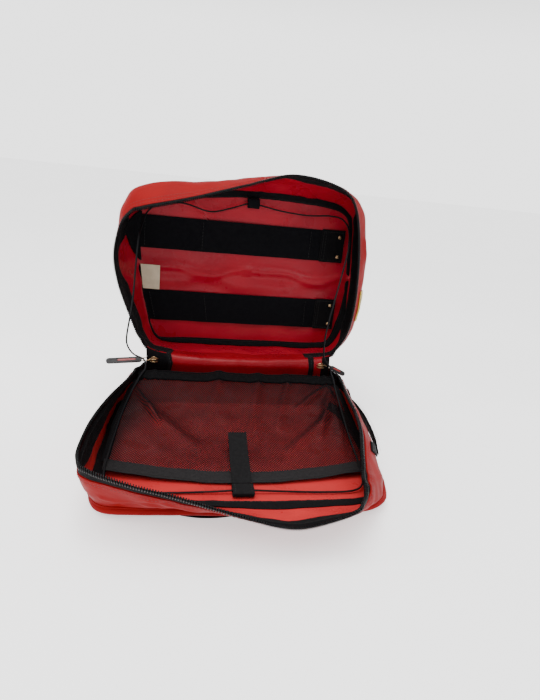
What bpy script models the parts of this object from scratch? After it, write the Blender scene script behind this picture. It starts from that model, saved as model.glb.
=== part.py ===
"""Trauma backpack, opened flat on its back panel with the lid standing up.

Metres, +Z up. +X runs along the hinge, -Y points to the free front edge.
The origin is on the ground, under the middle of the back panel.
"""
import math

import bmesh
import bpy
from mathutils import Matrix, Vector

# ---- driving dimensions -------------------------------------------------
GAP = 0.0003                 # kept between touching pieces
FABRIC = 0.0025              # coated fabric wall
TAPE = 0.0012                # zip tape and light trim
TAPE_GAP = 0.0009            # zip tape to wall, more than GAP for the tight corners
WEBBING = 0.002              # sewn webbing bands
BINDING_SPAN = (0.0052, 0.0110)   # seam binding, measured in from the floor's edge
CORD_R = 0.00125             # elastic cord radius
COIL_R = 0.0019              # zip coil radius
RIVET_R = 0.003
FLOOR_Z = 0.020              # underside of the base shell
PAD_Z = 0.0085               # underside of the back pad
HINGE_Y, HINGE_Z = 0.109, 0.101
LID_LEAN = math.radians(2.35)
LID_DEPTH = 0.088            # hinge plane to the lid's front panel
POCKET_DEPTH = 0.028         # outer pocket on the lid's front panel
LID_CENTRE = (0.024, 0.125)  # middle of the lid's front panel (x, height)
BAND_WIDTH = 0.050           # webbing bands inside the lid
PER_SPAN = 3                 # mesh steps between two outline points
SHELL_TOP = 0.88             # share of the wall height that is coated fabric
HINGE_TOP = 0.97             # the same along the hinge, where there is no zip
WALL_SHARES = (0, 0.08, 0.3, 0.55, 0.8, 1)   # rings of mesh up a wall
TAPE_LOW, TAPE_HIGH = 0.72, 0.94

# Base: floor outline (x, y) and the zip line above it (x, y, z), the left
# side first, then the front and the right side, then the hinge side.
BASE_ROWS = [
    (-0.148, 0.122, -0.120, 0.110, 0.0985), (-0.172, 0.108, -0.136, 0.090, 0.0975),
    (-0.177, 0.065, -0.1525, 0.039, 0.0975), (-0.178, 0.010, -0.169, -0.013, 0.0975),
    (-0.178, -0.045, -0.180, -0.0605, 0.097), (-0.178, -0.085, -0.186, -0.1005, 0.093),
    (-0.175, -0.114, -0.186, -0.137, 0.091), (-0.160, -0.130, -0.171, -0.163, 0.090),
    (-0.125, -0.134, -0.126, -0.183, 0.086), (-0.070, -0.136, -0.075, -0.191, 0.075),
    (-0.010, -0.138, -0.012, -0.202, 0.059), (0.045, -0.139, 0.042, -0.209, 0.048),
    (0.105, -0.138, 0.085, -0.204, 0.052), (0.154, -0.134, 0.117, -0.196, 0.060),
    (0.181, -0.120, 0.132, -0.176, 0.062), (0.193, -0.090, 0.1365, -0.1485, 0.067),
    (0.195, -0.060, 0.144, -0.115, 0.080), (0.196, -0.015, 0.157, -0.057, 0.0925),
    (0.195, 0.045, 0.163, 0.031, 0.0975), (0.191, 0.085, 0.168, 0.073, 0.0975),
    (0.180, 0.112, 0.164, 0.098, 0.0975), (0.155, 0.122, 0.148, 0.110, 0.0985),
    (0.050, 0.1225, 0.050, 0.1095, 0.0985), (-0.050, 0.1225, -0.050, 0.1095, 0.0985),
]
# Lid: front panel outline (x, height) and zip line (x, height, depth), both
# measured from the hinge along and behind the lid.
LID_ROWS = [
    (-0.100, 0.000, -0.118, 0.010, 0.004), (-0.122, 0.012, -0.140, 0.034, 0.004),
    (-0.135, 0.050, -0.154, 0.066, 0.004), (-0.144, 0.095, -0.171, 0.114, 0.004),
    (-0.151, 0.145, -0.177, 0.154, 0.004), (-0.152, 0.195, -0.170, 0.190, 0.004),
    (-0.143, 0.228, -0.159, 0.208, 0.005), (-0.118, 0.243, -0.141, 0.218, 0.006),
    (-0.060, 0.245, -0.075, 0.237, 0.006), (0.010, 0.2515, 0.005, 0.264, 0.006),
    (0.075, 0.252, 0.065, 0.284, 0.008), (0.135, 0.249, 0.120, 0.280, 0.008),
    (0.172, 0.241, 0.153, 0.266, 0.006), (0.190, 0.220, 0.169, 0.240, 0.004),
    (0.196, 0.175, 0.180, 0.189, 0.004), (0.200, 0.110, 0.187, 0.120, 0.004),
    (0.198, 0.055, 0.184, 0.062, 0.004), (0.185, 0.012, 0.169, 0.028, 0.004),
    (0.155, 0.001, 0.150, 0.010, 0.004), (0.050, 0.000, 0.050, 0.003, 0.004),
    (-0.040, 0.000, -0.040, 0.003, 0.004),
]
BASE_ZIP_END = 21            # outline point where the zip stops, counted from 0
LID_ZIP_END = 18
BASE_BOW, LID_BOW = 0.004, 0.012   # largest outward swell half way up the walls
RIGHT_SWELL = 0.006          # further swell of the base's right wall
LID_SWELLS = ((7.2, 2.2, 0.010), (14.4, 3.2, 0.008))   # place, reach and amount

# Elastic cord, as one run split at the hinge.  Lid points are (x, height,
# depth) like the lid's outline; base points are (x, y, z).
LID_CORD = [
    (-0.138, 0.205, 0.060), (-0.1335, 0.2125, 0.0655), (-0.122, 0.222, 0.069),
    (-0.100, 0.227, 0.070),
    (-0.078, 0.2268, 0.070), (-0.0425, 0.2188, 0.070), (-0.012, 0.226, 0.071),
    (0.0148, 0.2355, 0.072), (0.0335, 0.2348, 0.072), (0.070, 0.229, 0.071),
    (0.1115, 0.2265, 0.070), (0.145, 0.229, 0.068), (0.163, 0.2275, 0.063),
    (0.1715, 0.2205, 0.0555), (0.174, 0.214, 0.050),
]
LEFT_STAY = [
    (-0.138, 0.205, 0.060), (-0.1405, 0.1975, 0.0525), (-0.143, 0.186, 0.036),
    (-0.1445, 0.1745, 0.020),
    (-0.1465, 0.138, 0.008), (-0.148, 0.106, -0.002), (-0.1505, 0.078, -0.008),
    (-0.156, 0.040, -0.012), (-0.1545, 0.024, -0.011), (-0.146, 0.011, -0.009),
    (-0.131, 0.0035, -0.010), (-0.128, -0.006, -0.020), (-0.134, -0.012, -0.034),
]
RIGHT_STAY = [
    (0.174, 0.214, 0.050), (0.1745, 0.206, 0.043), (0.172, 0.190, 0.029),
    (0.1675, 0.174, 0.018),
    (0.157, 0.132, 0.003), (0.151, 0.105, -0.003), (0.1445, 0.066, -0.008),
    (0.143, 0.039, -0.010), (0.146, 0.018, -0.009), (0.153, 0.0075, -0.009),
    (0.157, 0.003, -0.014), (0.157, -0.004, -0.024), (0.158, -0.010, -0.036),
]
BASE_CORD = [
    (-0.140, 0.058, 0.0835), (-0.150, 0.025, 0.0705), (-0.157, -0.010, 0.0575),
    (-0.162, -0.045, 0.0455), (-0.165, -0.078, 0.0365), (-0.163, -0.098, 0.029),
    (-0.150, -0.1125, 0.0265), (-0.095, -0.1145, 0.0257), (-0.040, -0.114, 0.0262),
    (0.001, -0.1135, 0.0277), (0.050, -0.1145, 0.0262), (0.100, -0.116, 0.0257),
    (0.142, -0.1145, 0.0265), (0.158, -0.102, 0.030), (0.161, -0.070, 0.039),
    (0.159, -0.030, 0.052), (0.158, 0.020, 0.0705), (0.158, 0.056, 0.084),
]

# Mesh pocket: left edge and right edge, front to back (x, y); its height
# rises towards the hinge.
MESH_LEFT = [(-0.168, -0.060), (-0.161, 0.000), (-0.147, 0.060), (-0.132, 0.088)]
MESH_RIGHT = [(0.179, -0.060), (0.175, 0.000), (0.168, 0.060), (0.158, 0.088)]
MESH_FRONT_BOW = 0.019       # how far the front edge comes forward mid-way
MESH_FRONT_Z, MESH_SLOPE = 0.0325, 0.37
MESH_BAND, HEM_WIDTH = 0.012, 0.018
PAD_LIP = 0.003              # how far the back pad stands out past the floor's outline
HANDLE_FRONT, HANDLE_BACK = (0.1915, -0.056, 0.052), (0.1970, 0.070, 0.052)
HANDLE_LEAN, HANDLE_RISE = math.radians(20), 0.005
STRAP_X, STRAP_WIDTH = 0.001, 0.025
STRAP_HINGE_Y = -0.1000
STRAP_TIP_Y = -0.020
# Loose webbing from each ladder lock, as (x, distance from the middle line).
LEFT_WEBBING = [(-0.0615, 0.077), (-0.070, 0.079), (-0.086, 0.100), (-0.112, 0.106),
                (-0.138, 0.098), (-0.158, 0.086)]
RIGHT_WEBBING = [(-0.0615, 0.077), (-0.0800, 0.0885), (-0.0770, 0.1150), (-0.0540, 0.1300),
                 (-0.0280, 0.1318), (-0.0060, 0.1255)]
PULLER_LINK = 0.011          # wire link between a slider's eye and its tab

COLOURS = {                  # name: (colour, roughness, metallic)
    "red_fabric": ((0.50, 0.025, 0.025), 0.25, 0.0),
    "black_webbing": ((0.015, 0.015, 0.017), 0.8, 0.0),
    "black_mesh": ((0.02, 0.015, 0.017), 0.8, 0.0),
    "black_zip": ((0.012, 0.012, 0.013), 0.6, 0.0),
    "elastic_cord": ((0.014, 0.014, 0.016), 0.7, 0.0),
    "black_foam": ((0.02, 0.02, 0.022), 0.85, 0.0),
    "black_plastic": ((0.02, 0.02, 0.02), 0.4, 0.0),
    "metal": ((0.62, 0.58, 0.52), 0.3, 1.0),
    "puller_rubber": ((0.02, 0.018, 0.018), 0.5, 0.0),
    "white_label": ((0.75, 0.72, 0.63), 0.7, 0.0),
    "yellow_tag": ((0.85, 0.62, 0.03), 0.5, 0.0),
}


# ---- helpers ------------------------------------------------------------
def clear_scene():
    for item in list(bpy.data.objects):
        bpy.data.objects.remove(item, do_unlink=True)


def material(slot):
    colour, roughness, metallic = COLOURS[slot]
    found = bpy.data.materials.get(slot)
    if found:
        return found
    made = bpy.data.materials.new(slot)
    made.use_nodes = True
    shader = made.node_tree.nodes["Principled BSDF"]
    shader.inputs["Base Color"].default_value = (*colour, 1.0)
    shader.inputs["Roughness"].default_value = roughness
    shader.inputs["Metallic"].default_value = metallic
    return made


def add_mesh(name, points, faces, slot, pivot=None):
    """Add one closed mesh. A moving piece's origin goes to its pivot."""
    pivot = Vector(pivot or (0, 0, 0))
    mesh = bpy.data.meshes.new(name)
    mesh.from_pydata([tuple(Vector(p) - pivot) for p in points], [], faces)
    work = bmesh.new()
    work.from_mesh(mesh)
    bmesh.ops.recalc_face_normals(work, faces=work.faces)
    work.to_mesh(mesh)
    work.free()
    mesh.materials.append(material(slot))
    item = bpy.data.objects.new(name, mesh)
    item.location = pivot
    bpy.context.collection.objects.link(item)
    return item


def spline_point(rows, place, closed):
    """Catmull-Rom through rows of any width; place counts rows from 0."""
    count = len(rows)
    first = int(math.floor(place))
    if not closed:
        first = min(max(first, 0), count - 2)
    share = place - first
    picks = []
    for step in (-1, 0, 1, 2):
        index = first + step
        index = index % count if closed else min(max(index, 0), count - 1)
        picks.append(rows[index])
    result = []
    for a, b, c, d in zip(*picks):
        result.append(0.5 * (2 * b + (c - a) * share + (2 * a - 5 * b + 4 * c - d) * share ** 2
                             + (3 * b - a - 3 * c + d) * share ** 3))
    return result


def lid_point(x, height, depth):
    """World place of a lid point given along and behind the lid."""
    sine, cosine = math.sin(LID_LEAN), math.cos(LID_LEAN)
    return Vector((x, HINGE_Y + height * sine + depth * cosine,
                   HINGE_Z + height * cosine - depth * sine))


def base_wall(place, share):
    """Outer face of the base wall: share 0 at the floor, 1 at the zip."""
    x, y, rim_x, rim_y, rim_z = spline_point(BASE_ROWS, place, True)
    low, high = Vector((x, y, FLOOR_Z)), Vector((rim_x, rim_y, rim_z))
    turn = min(max((place % len(BASE_ROWS) - 14) / 7, 0), 1)
    bow = BASE_BOW + RIGHT_SWELL * math.sin(math.pi * turn)
    return bowed(low, high, wall_side(BASE_ROWS, place), share, bow)


def lid_wall(place, share):
    """Outer face of the lid wall: share 0 at the front panel, 1 at the zip."""
    x, height, rim_x, rim_h, rim_d = spline_point(LID_ROWS, place, True)
    low, high = lid_point(x, height, LID_DEPTH), lid_point(rim_x, rim_h, rim_d)
    side = wall_side(LID_ROWS, place)
    outward = lid_point(side.x, side.y, 0) - lid_point(0, 0, 0)
    away = max(0.0, math.sin(math.pi * min(place % len(LID_ROWS), LID_ZIP_END) / LID_ZIP_END))
    bow = LID_BOW * (0.15 + 0.85 * math.sqrt(away))
    for centre, reach, amount in LID_SWELLS:
        near = min(abs(place % len(LID_ROWS) - centre) / reach, 1)
        bow += amount * math.cos(math.pi / 2 * near)
    return bowed(low, high, outward, share, bow)


def wall_side(rows, place):
    """Unit vector that points out of the floor outline at a place."""
    ahead = spline_point(rows, place + 0.05, True)
    behind = spline_point(rows, place - 0.05, True)
    run = Vector((ahead[0] - behind[0], ahead[1] - behind[1], 0)).normalized()
    if rows is BASE_ROWS:
        return Vector((run.y, -run.x, 0))
    return Vector((-run.y, run.x, 0))


def bowed(low, high, outward, share, bow):
    """Point on the way from low to high, swelling outwards half way up."""
    run = (high - low).normalized()
    swell = outward - run * outward.dot(run)
    if swell.length > 1e-6:
        swell.normalize()
    return low.lerp(high, share) + swell * bow * math.sin(math.pi * min(share, 1.0))


def places(count, last=None):
    """Even steps round an outline, all the way or from 0 to last."""
    if last is None:
        return [i / PER_SPAN for i in range(count * PER_SPAN)]
    return [i / PER_SPAN for i in range(last * PER_SPAN + 1)]


def inset_point(wall, place, share, depth):
    """Point of a wall moved inwards by depth, square to the wall."""
    here = wall(place, share)
    along = wall(place + 0.04, share) - wall(place - 0.04, share)
    upward = wall(place, share + 0.03) - wall(place, share - 0.03)
    inward = along.cross(upward).normalized()
    middle = Vector((0.0, 0.0, 0.06)) if wall is base_wall else lid_point(0.02, 0.12, 0.05)
    if inward.dot(middle - here) < 0:
        inward.negate()
    return here + inward * depth


def slab(name, lower, upper, slot, closed=False, pivot=None):
    """Closed solid between two grids of points with equal rows and columns."""
    rows, columns = len(lower), len(lower[0])
    points = [p for row in lower for p in row] + [p for row in upper for p in row]
    shift = rows * columns
    faces = []
    last = rows if closed else rows - 1
    for i in range(last):
        j = (i + 1) % rows
        for k in range(columns - 1):
            a, b = i * columns + k, j * columns + k
            faces.append((a, b, b + 1, a + 1))
            faces.append((a + shift, a + 1 + shift, b + 1 + shift, b + shift))
        for k in (0, columns - 1):
            a, b = i * columns + k, j * columns + k
            faces.append((a, a + shift, b + shift, b))
    if not closed:
        for i in (0, rows - 1):
            for k in range(columns - 1):
                a = i * columns + k
                faces.append((a, a + 1, a + 1 + shift, a + shift))
    return add_mesh(name, points, faces, slot, pivot)


def sheet(name, grid, rise, slot, pivot=None):
    """Slab made by moving a grid of points by one vector."""
    rise = Vector(rise)
    upper = [[p + rise for p in row] for row in grid]
    return slab(name, grid, upper, slot, pivot=pivot)


def prism(name, outline, bottom, top, slot):
    """Flat-ended solid over an outline of (x, y) points."""
    count = len(outline)
    points = [Vector((x, y, bottom)) for x, y in outline]
    points += [Vector((x, y, top)) for x, y in outline]
    faces = [tuple(range(count)), tuple(range(count, 2 * count))]
    faces += [(i, (i + 1) % count, (i + 1) % count + count, i + count) for i in range(count)]
    return add_mesh(name, points, faces, slot)


def rounded_outline(x0, x1, y0, y1, radius, steps=4):
    corners = ((x1 - radius, y1 - radius, 0), (x0 + radius, y1 - radius, 1),
               (x0 + radius, y0 + radius, 2), (x1 - radius, y0 + radius, 3))
    outline = []
    for x, y, quarter in corners:
        for i in range(steps + 1):
            angle = (quarter + i / steps) * math.pi / 2
            outline.append((x + radius * math.cos(angle), y + radius * math.sin(angle)))
    return outline


def ribbon_outline(centre, widths):
    """Outline of a flat strap along (x, y) points, with a width at each."""
    left, right = [], []
    for i, (x, y) in enumerate(centre):
        ahead, behind = centre[min(i + 1, len(centre) - 1)], centre[max(i - 1, 0)]
        run = Vector((ahead[0] - behind[0], ahead[1] - behind[1])).normalized()
        half = widths[i] / 2
        left.append((x - run.y * half, y + run.x * half))
        right.append((x + run.y * half, y - run.x * half))
    return left + right[::-1]


def tube(name, points, radius, slot, resolution=2):
    curve = bpy.data.curves.new(name, "CURVE")
    curve.dimensions = "3D"
    curve.bevel_depth = radius
    curve.bevel_resolution = resolution
    curve.render_resolution_u = 0
    curve.use_fill_caps = True
    line = curve.splines.new("POLY")
    line.points.add(len(points) - 1)
    for target, point in zip(line.points, points):
        target.co = (*point, 1.0)
    curve.materials.append(material(slot))
    item = bpy.data.objects.new(name, curve)
    bpy.context.collection.objects.link(item)
    return item


def even_points(route, spacing):
    """Points at even spacing along a smooth curve through a route."""
    dense = []
    for i in range((len(route) - 1) * 24 + 1):
        dense.append(Vector(spline_point(route, i / 24, False)))
    lengths = [0.0]
    for a, b in zip(dense, dense[1:]):
        lengths.append(lengths[-1] + (b - a).length)
    count = max(2, round(lengths[-1] / spacing))
    result, index = [], 0
    for i in range(count + 1):
        goal = lengths[-1] * i / count
        while index < len(dense) - 2 and lengths[index + 1] < goal:
            index += 1
        span = lengths[index + 1] - lengths[index]
        result.append(dense[index].lerp(dense[index + 1], (goal - lengths[index]) / span))
    return result


def trimmed(points, start=0.0, end=0.0):
    """Cut a little off the two ends of a line of points."""
    points = list(points)
    if start:
        points[0] = points[0] + (points[1] - points[0]).normalized() * start
    if end:
        points[-1] = points[-1] + (points[-2] - points[-1]).normalized() * end
    return points


def box(name, centre, size, slot, pivot=None, turn=None, bevel=0.0):
    """Box with its own rotation; bevel is applied with a modifier."""
    half = Vector(size) / 2
    signs = [(a, b, c) for a in (-1, 1) for b in (-1, 1) for c in (-1, 1)]
    turn = turn or Matrix.Identity(3)
    points = []
    for a, b, c in signs:
        points.append(Vector(centre) + turn @ Vector((a * half.x, b * half.y, c * half.z)))
    faces = [(0, 1, 3, 2), (4, 6, 7, 5), (0, 4, 5, 1), (2, 3, 7, 6), (0, 2, 6, 4), (1, 5, 7, 3)]
    item = add_mesh(name, points, faces, slot, pivot)
    if bevel:
        edge = item.modifiers.new("edge", "BEVEL")
        edge.width = bevel
        edge.segments = 2
        edge.limit_method = "NONE"
    return item


# ---- shells and zips ----------------------------------------------------
def shell(name, rows, wall, centre, shares, zip_end=None):
    """Open tray: flat floor, bowed walls, solidified inwards."""
    def wall_top(place):
        if zip_end is None:
            return 1.0
        return SHELL_TOP if place <= zip_end else HINGE_TOP

    around = places(len(rows))
    count = len(around)
    points, faces = [Vector(centre)], []
    rings = [("floor", 0.5), ("floor", 0.88)]
    rings += [("wall", share) for share in shares]
    for kind, amount in rings:
        for place in around:
            if kind == "floor":
                points.append(Vector(centre).lerp(wall(place, 0), amount))
            else:
                points.append(wall(place, amount * wall_top(place)))
    faces += [(0, 1 + i, 1 + (i + 1) % count) for i in range(count)]
    for ring in range(len(rings) - 1):
        for i in range(count):
            a, b = 1 + ring * count + i, 1 + ring * count + (i + 1) % count
            faces.append((a, a + count, b + count, b))
    item = add_mesh(name, points, faces, "red_fabric")
    solid = item.modifiers.new("thickness", "SOLIDIFY")
    solid.thickness = FABRIC
    solid.offset = -1.0
    solid.use_even_offset = True
    return item


def wall_patch(name, wall, along, shares, depth, thickness, slot):
    """Strip that follows a wall at a depth inside it, or outside if negative."""
    outer = [[inset_point(wall, p, s, depth) for s in shares] for p in along]
    inner = [[inset_point(wall, p, s, depth + thickness) for s in shares] for p in along]
    slab(name, outer, inner, slot)


def zip_run(prefix, wall, last):
    """Tape inside the top of the wall and a coil along its upper edge."""
    along = places(0, last)[1:-1]
    shares = (TAPE_LOW, 0.5 * (TAPE_LOW + TAPE_HIGH), TAPE_HIGH)
    wall_patch(prefix + "_zip_tape", wall, along, shares, FABRIC + TAPE_GAP, TAPE, "black_zip")
    line = []
    for place in places(0, last):
        if 0.6 < place < last - 0.6:
            line.append(inset_point(wall, place, 1.0, FABRIC + TAPE_GAP + TAPE / 2))
    tube(prefix + "_zip_coil", line, COIL_R, "black_zip", 1)


def binding_ring(name, rows, wall, normal):
    """Low ring of bound tape in the corner between floor and wall."""
    low, high = [], []
    for place in places(len(rows)):
        edge = wall(place, 0)
        side = wall_side(rows, place)
        if rows is LID_ROWS:
            side = lid_point(side.x, side.y, 0) - lid_point(0, 0, 0)
        inward = -side
        lift = normal * (FABRIC + GAP)
        low.append([edge + inward * w + lift for w in BINDING_SPAN])
        high.append([edge + inward * w + lift + normal * TAPE for w in BINDING_SPAN])
    slab(name, low, high, "black_webbing", closed=True)


def build_shells():
    shell("base_shell", BASE_ROWS, base_wall, (0, 0, FLOOR_Z), WALL_SHARES, BASE_ZIP_END)
    lid_centre = lid_point(*LID_CENTRE, LID_DEPTH)
    shell("lid_shell", LID_ROWS, lid_wall, lid_centre, WALL_SHARES, LID_ZIP_END)
    zip_run("base", base_wall, BASE_ZIP_END)
    zip_run("lid", lid_wall, LID_ZIP_END)
    binding_ring("base_seam_binding", BASE_ROWS, base_wall, Vector((0, 0, 1)))
    forward = lid_point(0, 0, -1) - lid_point(0, 0, 0)
    binding_ring("lid_seam_binding", LID_ROWS, lid_wall, forward)


# ---- base fittings ------------------------------------------------------
def mesh_height(y):
    return MESH_FRONT_Z + (y - MESH_LEFT[0][1]) * MESH_SLOPE


def mesh_grid(back_y, columns=13, rows=6):
    """Points of the mesh pocket's lower face, left to right, front to back."""
    grid = []
    for i in range(columns):
        share = i / (columns - 1)
        line = []
        front_y = MESH_LEFT[0][1] - MESH_FRONT_BOW * math.sin(math.pi * share)
        for k in range(rows):
            y = front_y + (back_y - front_y) * k / (rows - 1)
            left, right = edge_x(MESH_LEFT, y), edge_x(MESH_RIGHT, y)
            x = left + (right - left) * share
            line.append(Vector((x, y, mesh_height(max(y, front_y)))))
        grid.append(line)
    return grid


def edge_x(edge, y):
    """x of a front-to-back edge at y, by straight pieces."""
    for (x0, y0), (x1, y1) in zip(edge, edge[1:]):
        if y <= y1:
            return x0 + (x1 - x0) * (y - y0) / (y1 - y0)
    return edge[-1][0]


def build_mesh_pocket():
    """Sloping net, its stitched hem in front and its band at the hinge."""
    back_y = MESH_LEFT[-1][1]
    band_y = back_y - MESH_BAND
    sheet("mesh_pocket", mesh_grid(band_y), (0, 0, TAPE), "black_mesh")
    band, hem = [], []
    for i in range(13):
        share = i / 12
        line = []
        for y in (band_y + GAP, back_y):
            left, right = edge_x(MESH_LEFT, y), edge_x(MESH_RIGHT, y)
            line.append(Vector((left + (right - left) * share, y, mesh_height(y))))
        band.append(line)
        front_y = MESH_LEFT[0][1] - MESH_FRONT_BOW * math.sin(math.pi * share) - GAP
        x = MESH_LEFT[0][0] + (MESH_RIGHT[0][0] - MESH_LEFT[0][0]) * share
        front_z = mesh_height(front_y)
        hem.append([Vector((x, front_y - HEM_WIDTH, front_z - 0.0005)), Vector((x, front_y, front_z))])
    sheet("mesh_pocket_top_band", band, (0, 0, TAPE), "black_webbing")
    sheet("mesh_pocket_hem", hem, (0, 0, TAPE), "black_webbing")


def build_closure():
    """Cord loop at the front seam and the hook-and-loop strap behind it."""
    x0, x1 = STRAP_X - STRAP_WIDTH / 2, STRAP_X + STRAP_WIDTH / 2
    floor = FLOOR_Z + FABRIC + TAPE + 2 * GAP
    outer = [(-0.1245, floor), (-0.1035, floor), (-0.1035, floor + 0.0075), (-0.1245, floor + 0.0075)]
    inner = [(-0.1225, floor + 0.0012), (-0.1055, floor + 0.0012),
             (-0.1055, floor + 0.0062), (-0.1225, floor + 0.0062)]
    low = [[Vector((x0, y, z)), Vector((x1, y, z))] for y, z in outer]
    high = [[Vector((x0, y, z)), Vector((x1, y, z))] for y, z in inner]
    slab("front_cord_loop", low, high, "black_webbing", closed=True)
    pivot = (STRAP_X, STRAP_HINGE_Y, floor + 0.005)
    route = [(STRAP_HINGE_Y, floor + 0.0042), (-0.085, floor + 0.0095), (-0.065, 0.0375)]
    route += [(y, mesh_height(y) + 0.0035) for y in (-0.045, STRAP_TIP_Y)]
    grid = [[Vector((x, y, z)) for y, z in route] for x in (x0, STRAP_X, x1)]
    sheet("closure_strap", grid, (0, 0, WEBBING), "black_webbing", pivot=pivot)


def build_carry_handle():
    """Webbing grip on the right wall, turning about its two sewn ends."""
    front, back = Vector(HANDLE_FRONT), Vector(HANDLE_BACK)
    out = Vector((math.cos(HANDLE_LEAN), 0, math.sin(HANDLE_LEAN)))
    across = Vector((-out.z, 0, out.x))
    grid = []
    for i in range(13):
        centre = front.lerp(back, i / 12) + out * HANDLE_RISE * math.sin(math.pi * i / 12) ** 0.8
        grid.append([centre + across * w for w in (-0.011, 0, 0.011)])
    sheet("carry_handle", grid, out * 0.003, "black_webbing", pivot=front.lerp(back, 0.5))
    for name, place in (("handle_patch_front", 16.45), ("handle_patch_back", 18.75)):
        along = [place + shift for shift in (-0.12, 0.0, 0.12)]
        shares = (0.42, 0.56, 0.70)
        wall_patch(name, base_wall, along, shares, -GAP, -WEBBING, "black_webbing")


def build_harness():
    """Back pad, spine pad and the two shoulder straps under the base."""
    pad = []
    for i in range(3 * len(BASE_ROWS)):
        x, y = spline_point(BASE_ROWS, i / 3, True)[:2]
        side = wall_side(BASE_ROWS, i / 3)
        pad.append((x + side.x * PAD_LIP, y + side.y * PAD_LIP))
    prism("back_pad", pad, PAD_Z, FLOOR_Z - GAP, "black_foam")
    spine = rounded_outline(-0.120, 0.120, -0.022, 0.022, 0.015)
    prism("lumbar_pad", spine, 0.0, PAD_Z - GAP, "black_foam")
    for name, side, route in (("left", 1, LEFT_WEBBING), ("right", -1, RIGHT_WEBBING)):
        centre = [(0.135, 0.048), (0.110, 0.052), (0.075, 0.062), (0.035, 0.074),
                  (0.000, 0.080), (-0.030, 0.078)]
        widths = [0.036, 0.048, 0.054, 0.054, 0.048, 0.034]
        smooth = [spline_point([(x, y * side, w) for (x, y), w in zip(centre, widths)], i / 2, False)
                  for i in range(2 * len(centre) - 1)]
        outline = ribbon_outline([p[:2] for p in smooth], [p[2] for p in smooth])
        prism("shoulder_strap_" + name, outline, 0.0, PAD_Z - GAP, "black_foam")
        lock_x, lock_y = -0.0432, 0.0775
        box("ladder_lock_" + name, (lock_x, lock_y * side, 0.0036), (0.022, 0.034, 0.0066),
            "black_plastic", bevel=0.001)
        smooth = [spline_point([(x, y * side) for x, y in route], i / 3, False)
                  for i in range(3 * len(route) - 2)]
        outline = ribbon_outline(smooth, [0.025] * len(smooth))
        prism("strap_webbing_" + name, outline, 0.0, WEBBING, "black_webbing")


# ---- hinge, sliders and pullers -----------------------------------------
def build_hinge():
    """Fabric that joins the two halves, kept as one strip on each."""
    depth = FABRIC + TAPE_GAP
    base_along = [21.28 + 2.30 * i / 8 for i in range(9)]
    lid_along = [18.32 + 2.38 * i / 8 for i in range(9)]
    shares = (0.70, 0.85, 1.0)
    wall_patch("hinge_panel_base", base_wall, base_along, shares, depth, TAPE, "red_fabric")
    wall_patch("hinge_panel_lid", lid_wall, lid_along, shares, depth, TAPE, "red_fabric")
    for name, place in (("hinge_binding_left", 23.68), ("hinge_binding_right", 21.18)):
        along = (place - 0.05, place, place + 0.05)
        wall_patch(name, base_wall, along, shares, depth, TAPE, "black_webbing")


def puller(name, pivot, tip, width, slot):
    """Flat tab from a slider's eye out to its free end."""
    start, end = Vector(pivot), Vector(tip)
    run = (end - start).normalized()
    side = run.cross(Vector((0, 0, 1))).normalized()
    rise = side.cross(run).normalized()
    turn = Matrix((run, side, rise)).transposed()
    length = (end - start).length - PULLER_LINK
    box(name, start + run * (PULLER_LINK + length / 2), (length, width, 0.0035), slot,
        pivot=pivot, turn=turn, bevel=0.0012)


def build_sliders():
    for name, x, pivot, tip in (
            ("left", -0.1165, (-0.1245, 0.1075, 0.1025), (-0.1865, 0.1075, 0.0965)),
            ("right", 0.1440, (0.1520, 0.1075, 0.1045), (0.1870, 0.1075, 0.0880))):
        box("zip_slider_" + name, (x, 0.1065, 0.1030), (0.010, 0.008, 0.006), "metal", bevel=0.0012)
        puller("zip_puller_" + name, pivot, tip, 0.0085, "puller_rubber")


# ---- lid fittings -------------------------------------------------------
def lid_slab(name, x0, x1, low, high, depth, thickness, slot, columns=2):
    """Flat piece on the lid, swelling a little half way along."""
    near, far = [], []
    for i in range(columns):
        share = i / (columns - 1)
        x = x0 + (x1 - x0) * share
        swell = 0.002 * math.sin(math.pi * share)
        for grid, d in ((far, depth), (near, depth - thickness)):
            grid.append([lid_point(x, h, d - swell) for h in (low, high)])
    slab(name, far, near, slot)


def build_bands():
    """Two webbing bands, each closed by a riveted patch at its right end."""
    panel = LID_DEPTH - FABRIC
    face = panel - 0.002
    for name, low, x0, x1, end in (("upper_band", 0.1550, -0.136, 0.146, 0.181),
                                   ("lower_band", 0.0395, -0.121, 0.150, 0.181)):
        lid_slab(name, x0, x1, low, low + BAND_WIDTH, face, WEBBING, "black_webbing", columns=13)
        patch_x = x1 + GAP
        lid_slab(name + "_patch", patch_x, end, low - 0.0005, low + BAND_WIDTH + 0.001, face,
                 WEBBING + 0.0008, "black_webbing", columns=3)
        for part, height in (("_top", low + BAND_WIDTH - 0.009), ("_bottom", low + 0.009)):
            rivet("rivet_" + name.split("_")[0] + part, end - 0.009, height, face - WEBBING - 0.0008)


def rivet(name, x, height, depth):
    """Domed cap standing off the webbing patch."""
    steps = 10
    points, faces = [], []
    for radius, lift in ((RIVET_R, 0.0035), (RIVET_R, 0.0042), (RIVET_R * 0.6, 0.0052)):
        for i in range(steps):
            angle = 2 * math.pi * i / steps
            points.append(lid_point(x + radius * math.cos(angle), height + radius * math.sin(angle),
                                    depth - lift))
    for ring in range(2):
        for i in range(steps):
            a, b = ring * steps + i, ring * steps + (i + 1) % steps
            faces.append((a, b, b + steps, a + steps))
    faces.append(tuple(range(steps)))
    faces.append(tuple(range(2 * steps, 3 * steps)))
    add_mesh(name, points, faces, "metal")


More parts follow.
